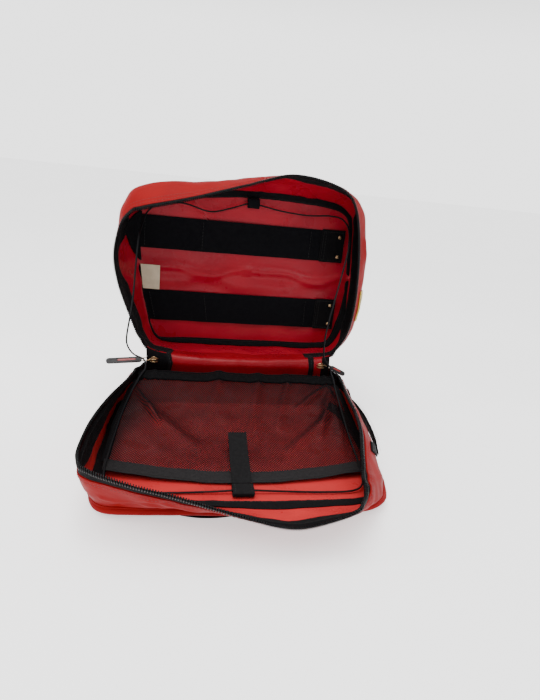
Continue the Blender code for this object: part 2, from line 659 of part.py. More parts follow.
def cord_loop(name, x, height, depth, width, drop):
    """Short webbing loop the cord runs through, open along X."""
    low, high = [], []
    for h, d, inset_h, inset_d in ((0, 0, -1, 1), (0, 1, -1, -1), (-1, 1, 1, -1), (-1, 0, 1, 1)):
        outer_h, outer_d = height + h * drop, depth + d * 0.009
        inner_h, inner_d = outer_h + inset_h * 0.0018, outer_d + inset_d * 0.0018
        low.append([lid_point(x + w, outer_h, outer_d) for w in (-width / 2, width / 2)])
        high.append([lid_point(x + w, inner_h, inner_d) for w in (-width / 2, width / 2)])
    slab(name, low, high, "black_webbing", closed=True)


def build_lid_trim():
    cord_loop("lid_cord_tab", 0.024, 0.2440, 0.0675, 0.018, 0.015)
    lid_slab("care_label", -0.138, -0.112, 0.0925, 0.1270, 0.0800, 0.0006, "white_label")
    wall_patch("side_tag", lid_wall, (15.0, 15.35, 15.7), (0.52, 0.66, 0.80), -GAP, -TAPE, "yellow_tag")


def pocket_wall(place, share):
    """Outer face of the front pocket: share 0 at its face, 1 at the lid."""
    x, height = spline_point(LID_ROWS, place, True)[:2]
    scale = 0.93 + 0.07 * math.sin(math.pi / 2 * min(1.0, max(0.0, share) * 1.4))
    x = LID_CENTRE[0] + (x - LID_CENTRE[0]) * scale
    height = LID_CENTRE[1] + (height - LID_CENTRE[1]) * scale
    return lid_point(x, height, LID_DEPTH + GAP + POCKET_DEPTH * (1 - share))


def build_front_pocket():
    """Outer pocket on the lid, a shallow tray sewn to the panel, with its zip."""
    centre = lid_point(*LID_CENTRE, LID_DEPTH + GAP + POCKET_DEPTH)
    shell("front_pocket", LID_ROWS, pocket_wall, centre, (0, 0.2, 0.55, 1))
    depth = LID_DEPTH + POCKET_DEPTH + COIL_R + GAP
    line = [lid_point(-0.105 + 0.262 * i / 24, 0.205, depth) for i in range(25)]
    tube("front_pocket_zip", line, COIL_R, "black_zip", 1)
    turn = Matrix.Rotation(-LID_LEAN, 3, "X")
    box("front_pocket_slider", lid_point(0.1640, 0.205, depth + 0.0015), (0.012, 0.006, 0.008), "metal",
        turn=turn, bevel=0.0012)
    pivot = lid_point(0.1640, 0.2035, depth + 0.0075)
    box("front_pocket_puller", lid_point(0.1640, 0.181, depth + 0.0075), (0.009, 0.0035, 0.040),
        "puller_rubber", pivot=tuple(pivot), turn=turn, bevel=0.0012)


# ---- elastic cord -------------------------------------------------------
def build_cords():
    spacing = 0.007
    lid = even_points([lid_point(*p) for p in LID_CORD], spacing)
    tube("lid_cord", trimmed(lid, 0.0003, 0.0003), CORD_R, "elastic_cord")
    for name, route, meet in (("left_stay_cord", LEFT_STAY, BASE_CORD[0]),
                              ("right_stay_cord", RIGHT_STAY, BASE_CORD[-1])):
        points = [lid_point(*p) for p in route] + [Vector(meet)]
        tube(name, trimmed(even_points(points, spacing), 0.0003, 0.0003), CORD_R, "elastic_cord")
    base = even_points([Vector(p) for p in BASE_CORD], spacing + 0.003)
    tube("base_cord", trimmed(base, 0.0003, 0.0003), CORD_R, "elastic_cord")


def main():
    clear_scene()
    build_shells()
    build_mesh_pocket()
    build_closure()
    build_carry_handle()
    build_harness()
    build_hinge()
    build_sliders()
    build_bands()
    build_lid_trim()
    build_front_pocket()
    build_cords()


main()
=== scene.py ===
"""Looks of an opened trauma backpack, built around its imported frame.

Metres, +Z up, in the frame of the CAD model. The base lies on the floor, the
lid stands behind it on the fabric hinge, and +X is the pack's top when worn.
"""
import math

import bmesh
import bpy
import numpy as np
from mathutils import Matrix, Vector, noise


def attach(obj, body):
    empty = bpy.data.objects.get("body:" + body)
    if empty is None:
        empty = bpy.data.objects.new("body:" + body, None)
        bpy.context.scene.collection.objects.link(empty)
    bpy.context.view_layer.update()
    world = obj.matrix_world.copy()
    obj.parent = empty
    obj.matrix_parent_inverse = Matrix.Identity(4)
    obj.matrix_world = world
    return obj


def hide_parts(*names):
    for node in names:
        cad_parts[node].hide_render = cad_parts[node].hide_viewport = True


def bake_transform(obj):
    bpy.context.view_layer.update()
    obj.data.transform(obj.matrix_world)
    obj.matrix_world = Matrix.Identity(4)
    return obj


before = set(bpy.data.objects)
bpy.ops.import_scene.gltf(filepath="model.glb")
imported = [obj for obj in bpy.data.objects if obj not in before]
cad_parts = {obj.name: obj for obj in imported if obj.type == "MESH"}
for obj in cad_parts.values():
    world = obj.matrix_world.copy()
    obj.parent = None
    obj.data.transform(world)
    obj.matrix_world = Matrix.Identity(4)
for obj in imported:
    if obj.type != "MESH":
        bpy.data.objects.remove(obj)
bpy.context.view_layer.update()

# ---- driving dimensions, the same as the CAD model's ---------------------
FABRIC, TAPE = 0.0025, 0.0012
FLOOR_Z, PAD_Z = 0.020, 0.0085
HINGE_Y, HINGE_Z = 0.109, 0.101
LID_LEAN = math.radians(2.35)
LID_DEPTH, POCKET_DEPTH = 0.088, 0.028
LID_CENTRE = (0.024, 0.125)
CORD_R = 0.00125
BASE_ZIP_END, LID_ZIP_END = 21, 18
BASE_BOW, LID_BOW, RIGHT_SWELL = 0.004, 0.012, 0.006
LID_SWELLS = ((7.2, 2.2, 0.010), (14.4, 3.2, 0.008))

# Base: floor outline (x, y) and the zip line above it (x, y, z).
BASE_ROWS = [
    (-0.148, 0.122, -0.120, 0.110, 0.0985), (-0.172, 0.108, -0.136, 0.090, 0.0975),
    (-0.177, 0.065, -0.1525, 0.039, 0.0975), (-0.178, 0.010, -0.169, -0.013, 0.0975),
    (-0.178, -0.045, -0.180, -0.0605, 0.097), (-0.178, -0.085, -0.186, -0.1005, 0.093),
    (-0.175, -0.114, -0.186, -0.137, 0.091), (-0.160, -0.130, -0.171, -0.163, 0.090),
    (-0.125, -0.134, -0.126, -0.183, 0.086), (-0.070, -0.136, -0.075, -0.191, 0.075),
    (-0.010, -0.138, -0.012, -0.202, 0.059), (0.045, -0.139, 0.042, -0.209, 0.048),
    (0.105, -0.138, 0.085, -0.204, 0.052), (0.154, -0.134, 0.117, -0.196, 0.060),
    (0.181, -0.120, 0.132, -0.176, 0.062), (0.193, -0.090, 0.1365, -0.1485, 0.067),
    (0.195, -0.060, 0.144, -0.115, 0.080), (0.196, -0.015, 0.157, -0.057, 0.0925),
    (0.195, 0.045, 0.163, 0.031, 0.0975), (0.191, 0.085, 0.168, 0.073, 0.0975),
    (0.180, 0.112, 0.164, 0.098, 0.0975), (0.155, 0.122, 0.148, 0.110, 0.0985),
    (0.050, 0.1225, 0.050, 0.1095, 0.0985), (-0.050, 0.1225, -0.050, 0.1095, 0.0985),
]
# Lid: front panel outline (x, height) and zip line (x, height, depth).
LID_ROWS = [
    (-0.100, 0.000, -0.118, 0.010, 0.004), (-0.122, 0.012, -0.140, 0.034, 0.004),
    (-0.135, 0.050, -0.154, 0.066, 0.004), (-0.144, 0.095, -0.171, 0.114, 0.004),
    (-0.151, 0.145, -0.177, 0.154, 0.004), (-0.152, 0.195, -0.170, 0.190, 0.004),
    (-0.143, 0.228, -0.159, 0.208, 0.005), (-0.118, 0.243, -0.141, 0.218, 0.006),
    (-0.060, 0.245, -0.075, 0.237, 0.006), (0.010, 0.2515, 0.005, 0.264, 0.006),
    (0.075, 0.252, 0.065, 0.284, 0.008), (0.135, 0.249, 0.120, 0.280, 0.008),
    (0.172, 0.241, 0.153, 0.266, 0.006), (0.190, 0.220, 0.169, 0.240, 0.004),
    (0.196, 0.175, 0.180, 0.189, 0.004), (0.200, 0.110, 0.187, 0.120, 0.004),
    (0.198, 0.055, 0.184, 0.062, 0.004), (0.185, 0.012, 0.169, 0.028, 0.004),
    (0.155, 0.001, 0.150, 0.010, 0.004), (0.050, 0.000, 0.050, 0.003, 0.004),
    (-0.040, 0.000, -0.040, 0.003, 0.004),
]
# Elastic cord, lid points as (x, height, depth) and base points as (x, y, z).
LID_CORD = [
    (-0.138, 0.205, 0.060), (-0.1335, 0.2125, 0.0655), (-0.122, 0.222, 0.069),
    (-0.100, 0.227, 0.070),
    (-0.078, 0.2268, 0.070), (-0.0425, 0.2188, 0.070), (-0.012, 0.226, 0.071),
    (0.0148, 0.2355, 0.072), (0.0335, 0.2348, 0.072), (0.070, 0.229, 0.071),
    (0.1115, 0.2265, 0.070), (0.145, 0.229, 0.068), (0.163, 0.2275, 0.063),
    (0.1715, 0.2205, 0.0555), (0.174, 0.214, 0.050),
]
LEFT_STAY = [
    (-0.138, 0.205, 0.060), (-0.1405, 0.1975, 0.0525), (-0.143, 0.186, 0.036),
    (-0.1445, 0.1745, 0.020),
    (-0.1465, 0.138, 0.008), (-0.148, 0.106, -0.002), (-0.1505, 0.078, -0.008),
    (-0.156, 0.040, -0.012), (-0.1545, 0.024, -0.011), (-0.146, 0.011, -0.009),
    (-0.131, 0.0035, -0.010), (-0.128, -0.006, -0.020), (-0.134, -0.012, -0.034),
]
RIGHT_STAY = [
    (0.174, 0.214, 0.050), (0.1745, 0.206, 0.043), (0.172, 0.190, 0.029),
    (0.1675, 0.174, 0.018),
    (0.157, 0.132, 0.003), (0.151, 0.105, -0.003), (0.1445, 0.066, -0.008),
    (0.143, 0.039, -0.010), (0.146, 0.018, -0.009), (0.153, 0.0075, -0.009),
    (0.157, 0.003, -0.014), (0.157, -0.004, -0.024), (0.158, -0.010, -0.036),
]
BASE_CORD = [
    (-0.140, 0.058, 0.0835), (-0.150, 0.025, 0.0705), (-0.157, -0.010, 0.0575),
    (-0.162, -0.045, 0.0455), (-0.165, -0.078, 0.0365), (-0.163, -0.098, 0.029),
    (-0.150, -0.1125, 0.0265), (-0.095, -0.1145, 0.0257), (-0.040, -0.114, 0.0262),
    (0.001, -0.1135, 0.0277), (0.050, -0.1145, 0.0262), (0.100, -0.116, 0.0257),
    (0.142, -0.1145, 0.0265), (0.158, -0.102, 0.030), (0.161, -0.070, 0.039),
    (0.159, -0.030, 0.052), (0.158, 0.020, 0.0705), (0.158, 0.056, 0.084),
]
TAB_CENTRE = (0.024, 0.2355, 0.072)
MESH_LEFT = [(-0.168, -0.060), (-0.161, 0.000), (-0.147, 0.060), (-0.132, 0.088)]
MESH_RIGHT = [(0.179, -0.060), (0.175, 0.000), (0.168, 0.060), (0.158, 0.088)]
MESH_FRONT_BOW, MESH_FRONT_Z, MESH_SLOPE = 0.019, 0.0325, 0.37
MESH_BAND, HEM_WIDTH = 0.012, 0.018
HANDLE_FRONT, HANDLE_BACK = (0.1915, -0.056, 0.052), (0.1970, 0.070, 0.052)
HANDLE_LEAN, HANDLE_RISE = math.radians(20), 0.005
# Loose webbing from each ladder lock, as (x, distance from the middle line).
LEFT_WEBBING = [(-0.0560, 0.077), (-0.070, 0.079), (-0.086, 0.100), (-0.112, 0.106),
                (-0.138, 0.098), (-0.158, 0.086)]
RIGHT_WEBBING = [(-0.0615, 0.077), (-0.0800, 0.0885), (-0.0770, 0.1080), (-0.0560, 0.1165),
                 (-0.0300, 0.1180), (-0.0060, 0.1140)]
STRAP_X, STRAP_WIDTH = 0.001, 0.025

# ---- looks only ----------------------------------------------------------
STEPS_PER_ROW = 20           # columns of a wall's fine grid between two outline rows
WALL_ROWS = 33
FLOOR_RINGS, CORNER_ROWS = 34, 3
HINGE_TOP = 0.97             # share of the wall that the fabric reaches along the hinge
TOOTH_PITCH, COIL_STEPS = 0.0029, 10
COIL_HIGH, COIL_THICK = 0.0027, 0.0016
# Share of the wall where the fabric ends and where the zip tape starts, as (place, share).
BASE_EDGE = [(0, 0.90), (5, 0.88), (6, 0.80), (9, 0.80), (10, 0.88), (21, 0.88)]
BASE_FOOT = [(0, 0.62), (2, 0.46), (5, 0.46), (6, 0.64), (9, 0.60), (13, 0.58), (15, 0.58),
             (19, 0.56), (21, 0.70)]
LID_EDGE = [(0, 0.945), (18, 0.945)]
LID_FOOT = [(0, 0.60), (1, 0.42), (2, 0.36), (3, 0.40), (3.7, 0.72), (4.15, 0.78), (4.5, 0.42),
            (5.0, 0.28), (6.0, 0.34), (6.8, 0.80), (8.8, 0.82), (9.6, 0.66), (10.5, 0.50),
            (12.2, 0.46), (12.9, 0.08), (16.2, 0.10), (17.2, 0.55), (18, 0.66)]
# Size of the seam binding, as (place, size).
BASE_BINDING = [(0.4, 0.8), (3, 1.0), (7, 1.0), (8.5, 0.6), (13.5, 0.6), (15, 0.9), (20.5, 0.9)]
LID_BINDING = [(-2.9, 0.75), (-0.4, 0.75), (0.6, 0.30), (1.5, 0.10), (6.2, 0.08), (7.5, 0.50), (11.5, 0.45),
               (12.5, 0.30), (15.2, 0.30), (16.2, 0.75), (18.1, 0.75)]
NET_BACK = MESH_LEFT[-1][1] - MESH_BAND
# Folds in the net: start (x, y), end (x, y), height and half width.
NET_FOLDS = [
    (-0.146, 0.066, -0.105, 0.000, 0.0110, 0.0040), (-0.118, 0.020, -0.060, -0.030, 0.0055, 0.0090),
    (-0.156, 0.030, -0.150, -0.040, 0.0060, 0.0110), (0.150, 0.070, 0.095, 0.030, 0.0080, 0.0050),
    (0.150, 0.060, 0.120, -0.020, 0.0095, 0.0060), (0.152, 0.050, 0.150, -0.040, 0.0070, 0.0070),
    (0.040, 0.070, 0.020, -0.010, 0.0060, 0.0080), (0.140, 0.015, 0.070, -0.045, 0.0060, 0.0075),
    (-0.020, 0.072, -0.035, 0.020, 0.0040, 0.0070), (0.085, 0.070, 0.060, 0.000, 0.0050, 0.0060),
]
NET_CELL = 0.0033            # diagonal of one hole with its share of thread
NET_WIDTH, NET_LENGTH, NET_AREA = 0.330, 0.150, 0.047
BAND_WIDTH = 0.050
WAVE_STEP = 2 * math.pi / 20     # a wave texture repeats this often at scale 1


# ---- camera and light ----------------------------------------------------
def build_camera():
    """Camera above and in front of the bag, a little to the left."""
    yaw, pitch, roll = 0.206, 0.372, 0.118
    forward = Vector((math.sin(yaw) * math.cos(pitch), math.cos(yaw) * math.cos(pitch),
                      -math.sin(pitch)))
    level = Vector((math.cos(yaw), -math.sin(yaw), 0))
    upward = level.cross(forward)
    side = level * math.cos(roll) + upward * math.sin(roll)
    top = upward * math.cos(roll) - level * math.sin(roll)
    data = bpy.data.cameras.new("camera")
    data.sensor_fit = "HORIZONTAL"
    data.sensor_width = 36.0
    data.lens = 34.5
    data.shift_x, data.shift_y = -0.004, 0.005
    camera = bpy.data.objects.new("camera", data)
    turn = Matrix((side, top, -forward)).transposed().to_4x4()
    camera.matrix_world = Matrix.Translation((-0.091, -0.630, 0.415)) @ turn
    bpy.context.collection.objects.link(camera)
    bpy.context.scene.camera = camera


def area_light(name, place, target, size, power, colour=(1, 1, 1)):
    data = bpy.data.lights.new(name, "AREA")
    data.shape = "RECTANGLE"
    data.size, data.size_y = size
    data.energy = power
    data.color = colour
    light = bpy.data.objects.new(name, data)
    light.location = place
    aim = Vector(target) - Vector(place)
    light.rotation_euler = aim.to_track_quat("-Z", "Y").to_euler()
    bpy.context.collection.objects.link(light)


def build_lights():
    """White surroundings, dimmer in front and above, with a soft sun and three soft boxes."""
    world = bpy.data.worlds.new("studio")
    world.use_nodes = True
    tree = world.node_tree
    back = tree.nodes["Background"]
    back.inputs["Color"].default_value = (1.0, 1.0, 1.0, 1.0)
    place = tree.nodes.new("ShaderNodeTexCoord")
    split = tree.nodes.new("ShaderNodeSeparateXYZ")
    tree.links.new(place.outputs["Generated"], split.inputs[0])
    product = tree.nodes.new("ShaderNodeMath")
    product.operation = "MULTIPLY"
    for n, (axis, low, high, dim, bright) in enumerate((("Y", -0.4, 0.5, 0.884, 2.6),
                                                        ("Z", 0.40, 0.16, 0.42, 1.0))):
        step = tree.nodes.new("ShaderNodeMapRange")
        step.interpolation_type = "SMOOTHSTEP"
        for key, value in (("From Min", low), ("From Max", high), ("To Min", dim), ("To Max", bright)):
            step.inputs[key].default_value = value
        tree.links.new(split.outputs[axis], step.inputs["Value"])
        tree.links.new(step.outputs["Result"], product.inputs[n])
    tree.links.new(product.outputs[0], back.inputs["Strength"])
    bpy.context.scene.world = world

    data = bpy.data.lights.new("sun", "SUN")
    data.energy = 3.0
    data.angle = math.radians(55)
    sun = bpy.data.objects.new("sun", data)
    sun.rotation_euler = Vector((0.20, 0.30, -1.0)).to_track_quat("-Z", "Y").to_euler()
    bpy.context.collection.objects.link(sun)
    area_light("overhead", (-0.1, 0.0, 1.4), (0, 0.02, 0.05), (0.9, 0.35), 9)
    area_light("window", (-1.2, -0.2, 0.75), (0, 0, 0.12), (0.15, 0.7), 6, (1.0, 0.98, 0.96))
    area_light("front_strip", (0.35, -1.0, 0.75), (0.03, 0.2, 0.22), (0.7, 0.10), 2.5)


# ---- lines and grids of points -------------------------------------------
def spline(rows, place, closed=True):
    """Catmull-Rom through rows of any width, at an array of places."""
    rows, place = np.asarray(rows, float), np.atleast_1d(np.asarray(place, float))
    count = len(rows)
    first = np.floor(place).astype(int)
    if not closed:
        first = np.clip(first, 0, count - 2)
    share = (place - first)[:, None]
    picks = []
    for step in (-1, 0, 1, 2):
        index = first + step
        picks.append(rows[index % count if closed else np.clip(index, 0, count - 1)])
    a, b, c, d = picks
    return 0.5 * (2 * b + (c - a) * share + (2 * a - 5 * b + 4 * c - d) * share ** 2
                  + (3 * b - a - 3 * c + d) * share ** 3)


def lid_points(points):
    """World places of lid points given as (x, height, depth)."""
    x, height, depth = np.moveaxis(np.asarray(points, float), -1, 0)
    sine, cosine = math.sin(LID_LEAN), math.cos(LID_LEAN)
    return np.stack([x, HINGE_Y + height * sine + depth * cosine,
                     HINGE_Z + height * cosine - depth * sine], axis=-1)


# Ways from the lid's front panel: into the opened lid, and out of its back.
LID_IN, LID_OUT = (lid_points((0, 0, depth)) - lid_points((0, 0, 0)) for depth in (-1, 1))


def unit(vectors):
    return vectors / np.maximum(np.linalg.norm(vectors, axis=-1, keepdims=True), 1e-12)


def running(points):
    """Running length at each point of a line."""
    return np.concatenate([[0], np.cumsum(np.linalg.norm(np.diff(points, axis=0), axis=1))])


def read_along(goal, lengths, rows):
    """Rows of values at the wanted running lengths."""
    return np.column_stack([np.interp(goal, lengths, column) for column in np.transpose(rows)])


def squared(wave, power):
    """A sine or cosine with fuller shoulders, for sections between round and square."""
    return np.sign(wave) * np.abs(wave) ** power


def ring_sides(ring):
    """Flat unit vectors square to a closed outline, to its right."""
    run = unit(np.roll(ring, -1, 0) - np.roll(ring, 1, 0))
    return np.column_stack([run[:, 1], -run[:, 0], np.zeros(len(ring))])


def line_sides(line):
    """Flat unit vectors square to an open line, to its left."""
    run = unit(np.gradient(line, axis=0))
    return np.column_stack([-run[:, 1], run[:, 0], np.zeros(len(line))])


def grid_normals(grid, closed):
    """Normals of a grid of points, along columns cross up rows."""
    if closed:
        along = np.roll(grid, -1, 0) - np.roll(grid, 1, 0)
    else:
        along = np.gradient(grid, axis=0)
    return unit(np.cross(along, np.gradient(grid, axis=1)))


def facing(normal, column, towards):
    """The normals of a grid, turned to the side that one column shows to be right."""
    return -normal if np.sum(normal[:, column] * towards) < 0 else normal


def read_grid(grid, column, row):
    """Values between the points of a grid whose columns go round."""
    i, k = np.floor(column).astype(int), np.minimum(np.floor(row).astype(int), grid.shape[1] - 2)
    a, b = (column - i)[..., None], (row - k)[..., None]
    i, j = i % len(grid), (i + 1) % len(grid)
    near = grid[i, k] * (1 - b) + grid[i, k + 1] * b
    far = grid[j, k] * (1 - b) + grid[j, k + 1] * b
    return near * (1 - a) + far * a


def strap_grid(centre, width, columns=9, axis=(1, 0, 0)):
    """Grid of a strap that follows centre points with a width against an axis."""
    share = np.linspace(-0.5, 0.5, columns)[None, :, None]
    return np.asarray(centre)[:, None] - np.asarray(axis, float) * width * share


def wobble(points, size, seed):
    """Smooth noise from -1 to 1 at each point."""
    flat = np.asarray(points, float).reshape(-1, 3) / size + seed * 7.31
    values = [noise.noise(Vector(p)) for p in flat]
    return np.array(values).reshape(np.asarray(points).shape[:-1])


def ridge(points, start, end, height, width):
    """A rounded fold along the line from start to end."""
    start, end = np.asarray(start, float), np.asarray(end, float)
    run = end - start
    share = np.clip(((points - start) @ run) / (run @ run), 0, 1)
    away = np.linalg.norm(points - (start + share[..., None] * run), axis=-1)
    return height * (1 - 0.6 * share) * np.exp(-(away / width) ** 2)


class Wall:
    """A tray's side wall as a fine grid of points, with folds and swells."""

    def __init__(self, rows, low, high, outward, bow, seed, folds):
        self.places = wall_places(rows)
        share = np.linspace(0, 1, WALL_ROWS)[None, :, None]
        run = unit(high - low)
        swell = unit(outward - run * np.sum(outward * run, axis=1, keepdims=True))
        grid = low[:, None] * (1 - share) + high[:, None] * share
        grid = grid + (swell * bow[:, None])[:, None] * np.sin(math.pi * share)
        normal = facing(grid_normals(grid, True), 5, swell)
        taper = 0.12 + 0.88 * np.sin(math.pi * np.clip(share[..., 0] * 1.04, 0, 1)) ** 0.8
        relief = 0.0030 * wobble(grid, 0.055, seed) + 0.0014 * wobble(grid, 0.021, seed + 1)
        relief = relief * taper
        for place0, share0, place1, share1, height, width in folds:
            ends = [self.pick(grid, p, s) for p, s in ((place0, share0), (place1, share1))]
            relief = relief + ridge(grid, *ends, height, width)
        self.grid = grid + normal * relief[..., None]
        self.normal = facing(grid_normals(self.grid, True), 5, swell)

    def pick(self, array, place, share):
        """Value of a grid array at places round the outline and shares up it."""
        place, share = np.broadcast_arrays(np.asarray(place, float), np.asarray(share, float))
        return read_grid(array, place * STEPS_PER_ROW, np.clip(share, 0, 1) * (WALL_ROWS - 1))

    def at(self, place, share, depth=0.0):
        """Point of the wall, moved inwards by depth."""
        here = self.pick(self.grid, place, share)
        return here - unit(self.pick(self.normal, place, share)) * np.asarray(depth)[..., None]

    def even_places(self, first, last, spacing, share):
        """Places from first to last with even distances along the wall."""
        dense = np.linspace(first, last, int((last - first) * 40) + 2)
        lengths = running(self.at(dense, share))
        count = max(2, int(round(lengths[-1] / spacing)) + 1)
        return np.interp(np.linspace(0, lengths[-1], count), lengths, dense)


def wall_places(rows):
    return np.arange(len(rows) * STEPS_PER_ROW) / STEPS_PER_ROW


def base_wall():
    place = wall_places(BASE_ROWS)
    rows = spline(BASE_ROWS, place)
    low = np.column_stack([rows[:, :2], np.full(len(rows), FLOOR_Z)])
    folds = ((5.6, 0.05, 6.6, 0.95, 0.0030, 0.006), (7.6, 0.15, 8.8, 0.75, -0.0028, 0.007),
             (8.4, 0.65, 10.2, 0.35, 0.0022, 0.006), (7.2, 0.4, 9.3, 0.45, 0.0018, 0.004),
             (13.4, 0.9, 14.5, 0.1, -0.0030, 0.008), (14.6, 0.9, 15.6, 0.15, 0.0032, 0.007),
             (15.2, 0.85, 15.3, 0.1, 0.0022, 0.005), (17.0, 0.8, 18.4, 0.3, -0.0020, 0.008),
             (19.2, 0.9, 20.2, 0.1, 0.0026, 0.006), (1.2, 0.95, 2.6, 0.2, 0.0024, 0.006))
    bow = BASE_BOW + RIGHT_SWELL * np.sin(math.pi * np.clip((place - 14) / 7, 0, 1))
    return Wall(BASE_ROWS, low, rows[:, 2:5], ring_sides(rows[:, :2]), bow, 1, folds)


def lid_wall():
    place = wall_places(LID_ROWS)
    rows = spline(LID_ROWS, place)
    low = lid_points(np.column_stack([rows[:, :2], np.full(len(rows), LID_DEPTH)]))
    outward = lid_points(-ring_sides(rows[:, :2])) - lid_points((0, 0, 0))
    away = np.clip(np.sin(math.pi * np.minimum(place, LID_ZIP_END) / LID_ZIP_END), 0, None)
    bow = LID_BOW * (0.15 + 0.85 * np.sqrt(away))
    for centre, reach, amount in LID_SWELLS:
        bow += amount * np.cos(math.pi / 2 * np.minimum(np.abs(place - centre) / reach, 1))
    folds = ((7.7, 0.02, 6.7, 0.97, 0.0045, 0.0035), (9.4, 0.15, 9.2, 0.9, 0.0022, 0.006),
             (10.6, 0.1, 11.2, 0.85, -0.0025, 0.008), (12.8, 0.1, 12.2, 0.9, 0.0030, 0.006),
             (13.8, 0.75, 15.6, 0.35, 0.0026, 0.006), (3.0, 0.2, 4.4, 0.8, -0.0022, 0.008),
             (1.6, 0.1, 1.2, 0.9, 0.0022, 0.007), (16.0, 0.2, 17.4, 0.85, -0.0026, 0.007))
    return Wall(LID_ROWS, low, lid_points(rows[:, 2:5]), outward, bow, 5, folds)


# ---- meshes --------------------------------------------------------------
def rework(mesh, change):
    """Edit a mesh with a function, and turn its faces outwards."""
    work = bmesh.new()
    work.from_mesh(mesh)
    work.verts.ensure_lookup_table()
    if change:
        change(work)
    bmesh.ops.recalc_face_normals(work, faces=work.faces)
    work.to_mesh(mesh)
    work.free()


def mesh_object(name, points, faces, uvs=None, sharp=45, change=None):
    """Smooth-shaded object from points and faces, with uvs in metres per face corner."""
    mesh = bpy.data.meshes.new(name)
    mesh.from_pydata(np.asarray(points, float).tolist(), [], faces)
    if uvs is not None:
        layer = mesh.uv_layers.new(name="cloth")
        layer.data.foreach_set("uv", np.asarray(uvs, np.float32).ravel())
    rework(mesh, change)
    mesh.shade_smooth()
    if sharp:
        mesh.set_sharp_from_angle(angle=math.radians(sharp))
    item = bpy.data.objects.new(name, mesh)
    bpy.context.collection.objects.link(item)
    return item


def grid_faces(rows, columns, closed, round_rows=False):
    """Quads of a grid of points numbered row by row, and their corners."""
    i = np.arange(rows if closed else rows - 1)
    k = np.arange(columns if round_rows else columns - 1)
    i, k = (x.ravel() for x in np.meshgrid(i, k, indexing="ij"))
    j, m = (i + 1) % rows, (k + 1) % columns
    faces = np.stack([i * columns + k, j * columns + k, j * columns + m, i * columns + m], axis=1)
    corners = np.stack([i, k, i + 1, k, i + 1, k + 1, i, k + 1], axis=1).reshape(-1, 4, 2)
    return faces, corners


def cloth_lengths(grid, closed):
    """Running lengths along columns and up rows, for a weave that keeps its size."""
    ring = np.concatenate([grid, grid[:1]]) if closed else grid
    along = np.linalg.norm(np.diff(ring, axis=0), axis=2).mean(axis=1)
    upward = np.linalg.norm(np.diff(grid, axis=1), axis=2).mean(axis=0)
    return (np.concatenate([[0], np.cumsum(along)]), np.concatenate([[0], np.cumsum(upward)]))


def two_sided(name, outer, inner, closed=False, sharp=45):
    """Closed sheet between two grids of points of the same shape."""
    rows, columns = outer.shape[:2]
    total = rows * columns
    front, corners = grid_faces(rows, columns, closed)
    lengths = cloth_lengths(outer, closed)
    uv = np.stack([lengths[0][corners[..., 0]], lengths[1][corners[..., 1]]], axis=-1)
    faces = front.tolist() + (front[:, ::-1] + total).tolist()
    uvs = [uv, uv[:, ::-1]]
    rims = []
    last = rows if closed else rows - 1
    for k in (0, columns - 1):
        for i in range(last):
            rims.append((i * columns + k, (i + 1) % rows * columns + k))
    if not closed:
        for i in (0, rows - 1):
            rims += [(i * columns + k, i * columns + k + 1) for k in range(columns - 1)]
    faces += [(a, b, b + total, a + total) for a, b in rims]
    rim_uv = np.zeros((len(rims), 4, 2))
    for n, (a, b) in enumerate(rims):
        rim_uv[n, :, 0] = lengths[0][a // columns]
        rim_uv[n, 2:, 1] = TAPE
    uvs.append(rim_uv)
    points = np.concatenate([outer.reshape(-1, 3), inner.reshape(-1, 3)])
    return mesh_object(name, points, faces, np.concatenate(uvs), sharp)


def soft_strip(name, grid, thickness, edge=0.0009):
    """Sheet with rounded long edges, standing off a grid of points by thickness."""
    normal = grid_normals(grid, False)
    count = grid.shape[1]
    across = np.arange(count) / (count - 1)
    width = np.linalg.norm(grid[:, -1] - grid[:, 0], axis=1).mean()
    near = np.minimum(across, 1 - across) * width
    swell = np.sqrt(np.clip(1 - (1 - np.clip(near / edge, 0, 1)) ** 2, 0, 1))
    lift = (0.35 + 0.65 * swell) * thickness
    return two_sided(name, grid + normal * lift[None, :, None], grid)


def tube_frames(path, closed):
    """Two side vectors at each point of a path, without twist."""
    if closed:
        run = unit(np.roll(path, -1, 0) - np.roll(path, 1, 0))
    else:
        run = unit(np.gradient(path, axis=0))
    side = np.cross(run[0], (0.0, 0.0, 1.0))
    if np.linalg.norm(side) < 0.1:
        side = np.cross(run[0], (0.0, 1.0, 0.0))
    sides = []
    for direction in run:
        side = side - direction * (side @ direction)
        side = side / np.linalg.norm(side)
        sides.append(side)
    sides = np.array(sides)
    return sides, np.cross(run, sides)


def tube(name, path, radius, sides=8, closed=False, flatten=1.0):
    """Round tube along a path; flatten below 1 makes it oval."""
    path = np.asarray(path, float)
    a, b = tube_frames(path, closed)
    angle = np.linspace(0, 2 * math.pi, sides, endpoint=False)
    ring = (a[:, None] * np.cos(angle)[None, :, None]
            + b[:, None] * (np.sin(angle) * flatten)[None, :, None])
    points = path[:, None] + ring * radius
    rows = len(path)
    length = running(np.concatenate([path, path[:1]]) if closed else path)
    quads, corners = grid_faces(rows, sides, closed, True)
    faces = quads.tolist()
    uvs = np.stack([length[corners[..., 0]], corners[..., 1] / sides], axis=-1).reshape(-1, 2)
    if not closed:
        for i in (0, rows - 1):
            faces.append(range(i * sides, (i + 1) * sides))
            uvs = np.concatenate([uvs, [(length[i], 0.0)] * sides])
    return mesh_object(name, points.reshape(-1, 3), faces, uvs, 60)


def stacked(layers):
    """Closed shape (points, faces) from outlines with equal counts, one over another."""
    layers = np.asarray(layers, float)
    rows, count = layers.shape[:2]
    faces = grid_faces(rows, count, False, True)[0].tolist()
    faces += [range(count), range((rows - 1) * count, rows * count)]
    return layers.reshape(-1, 3), faces


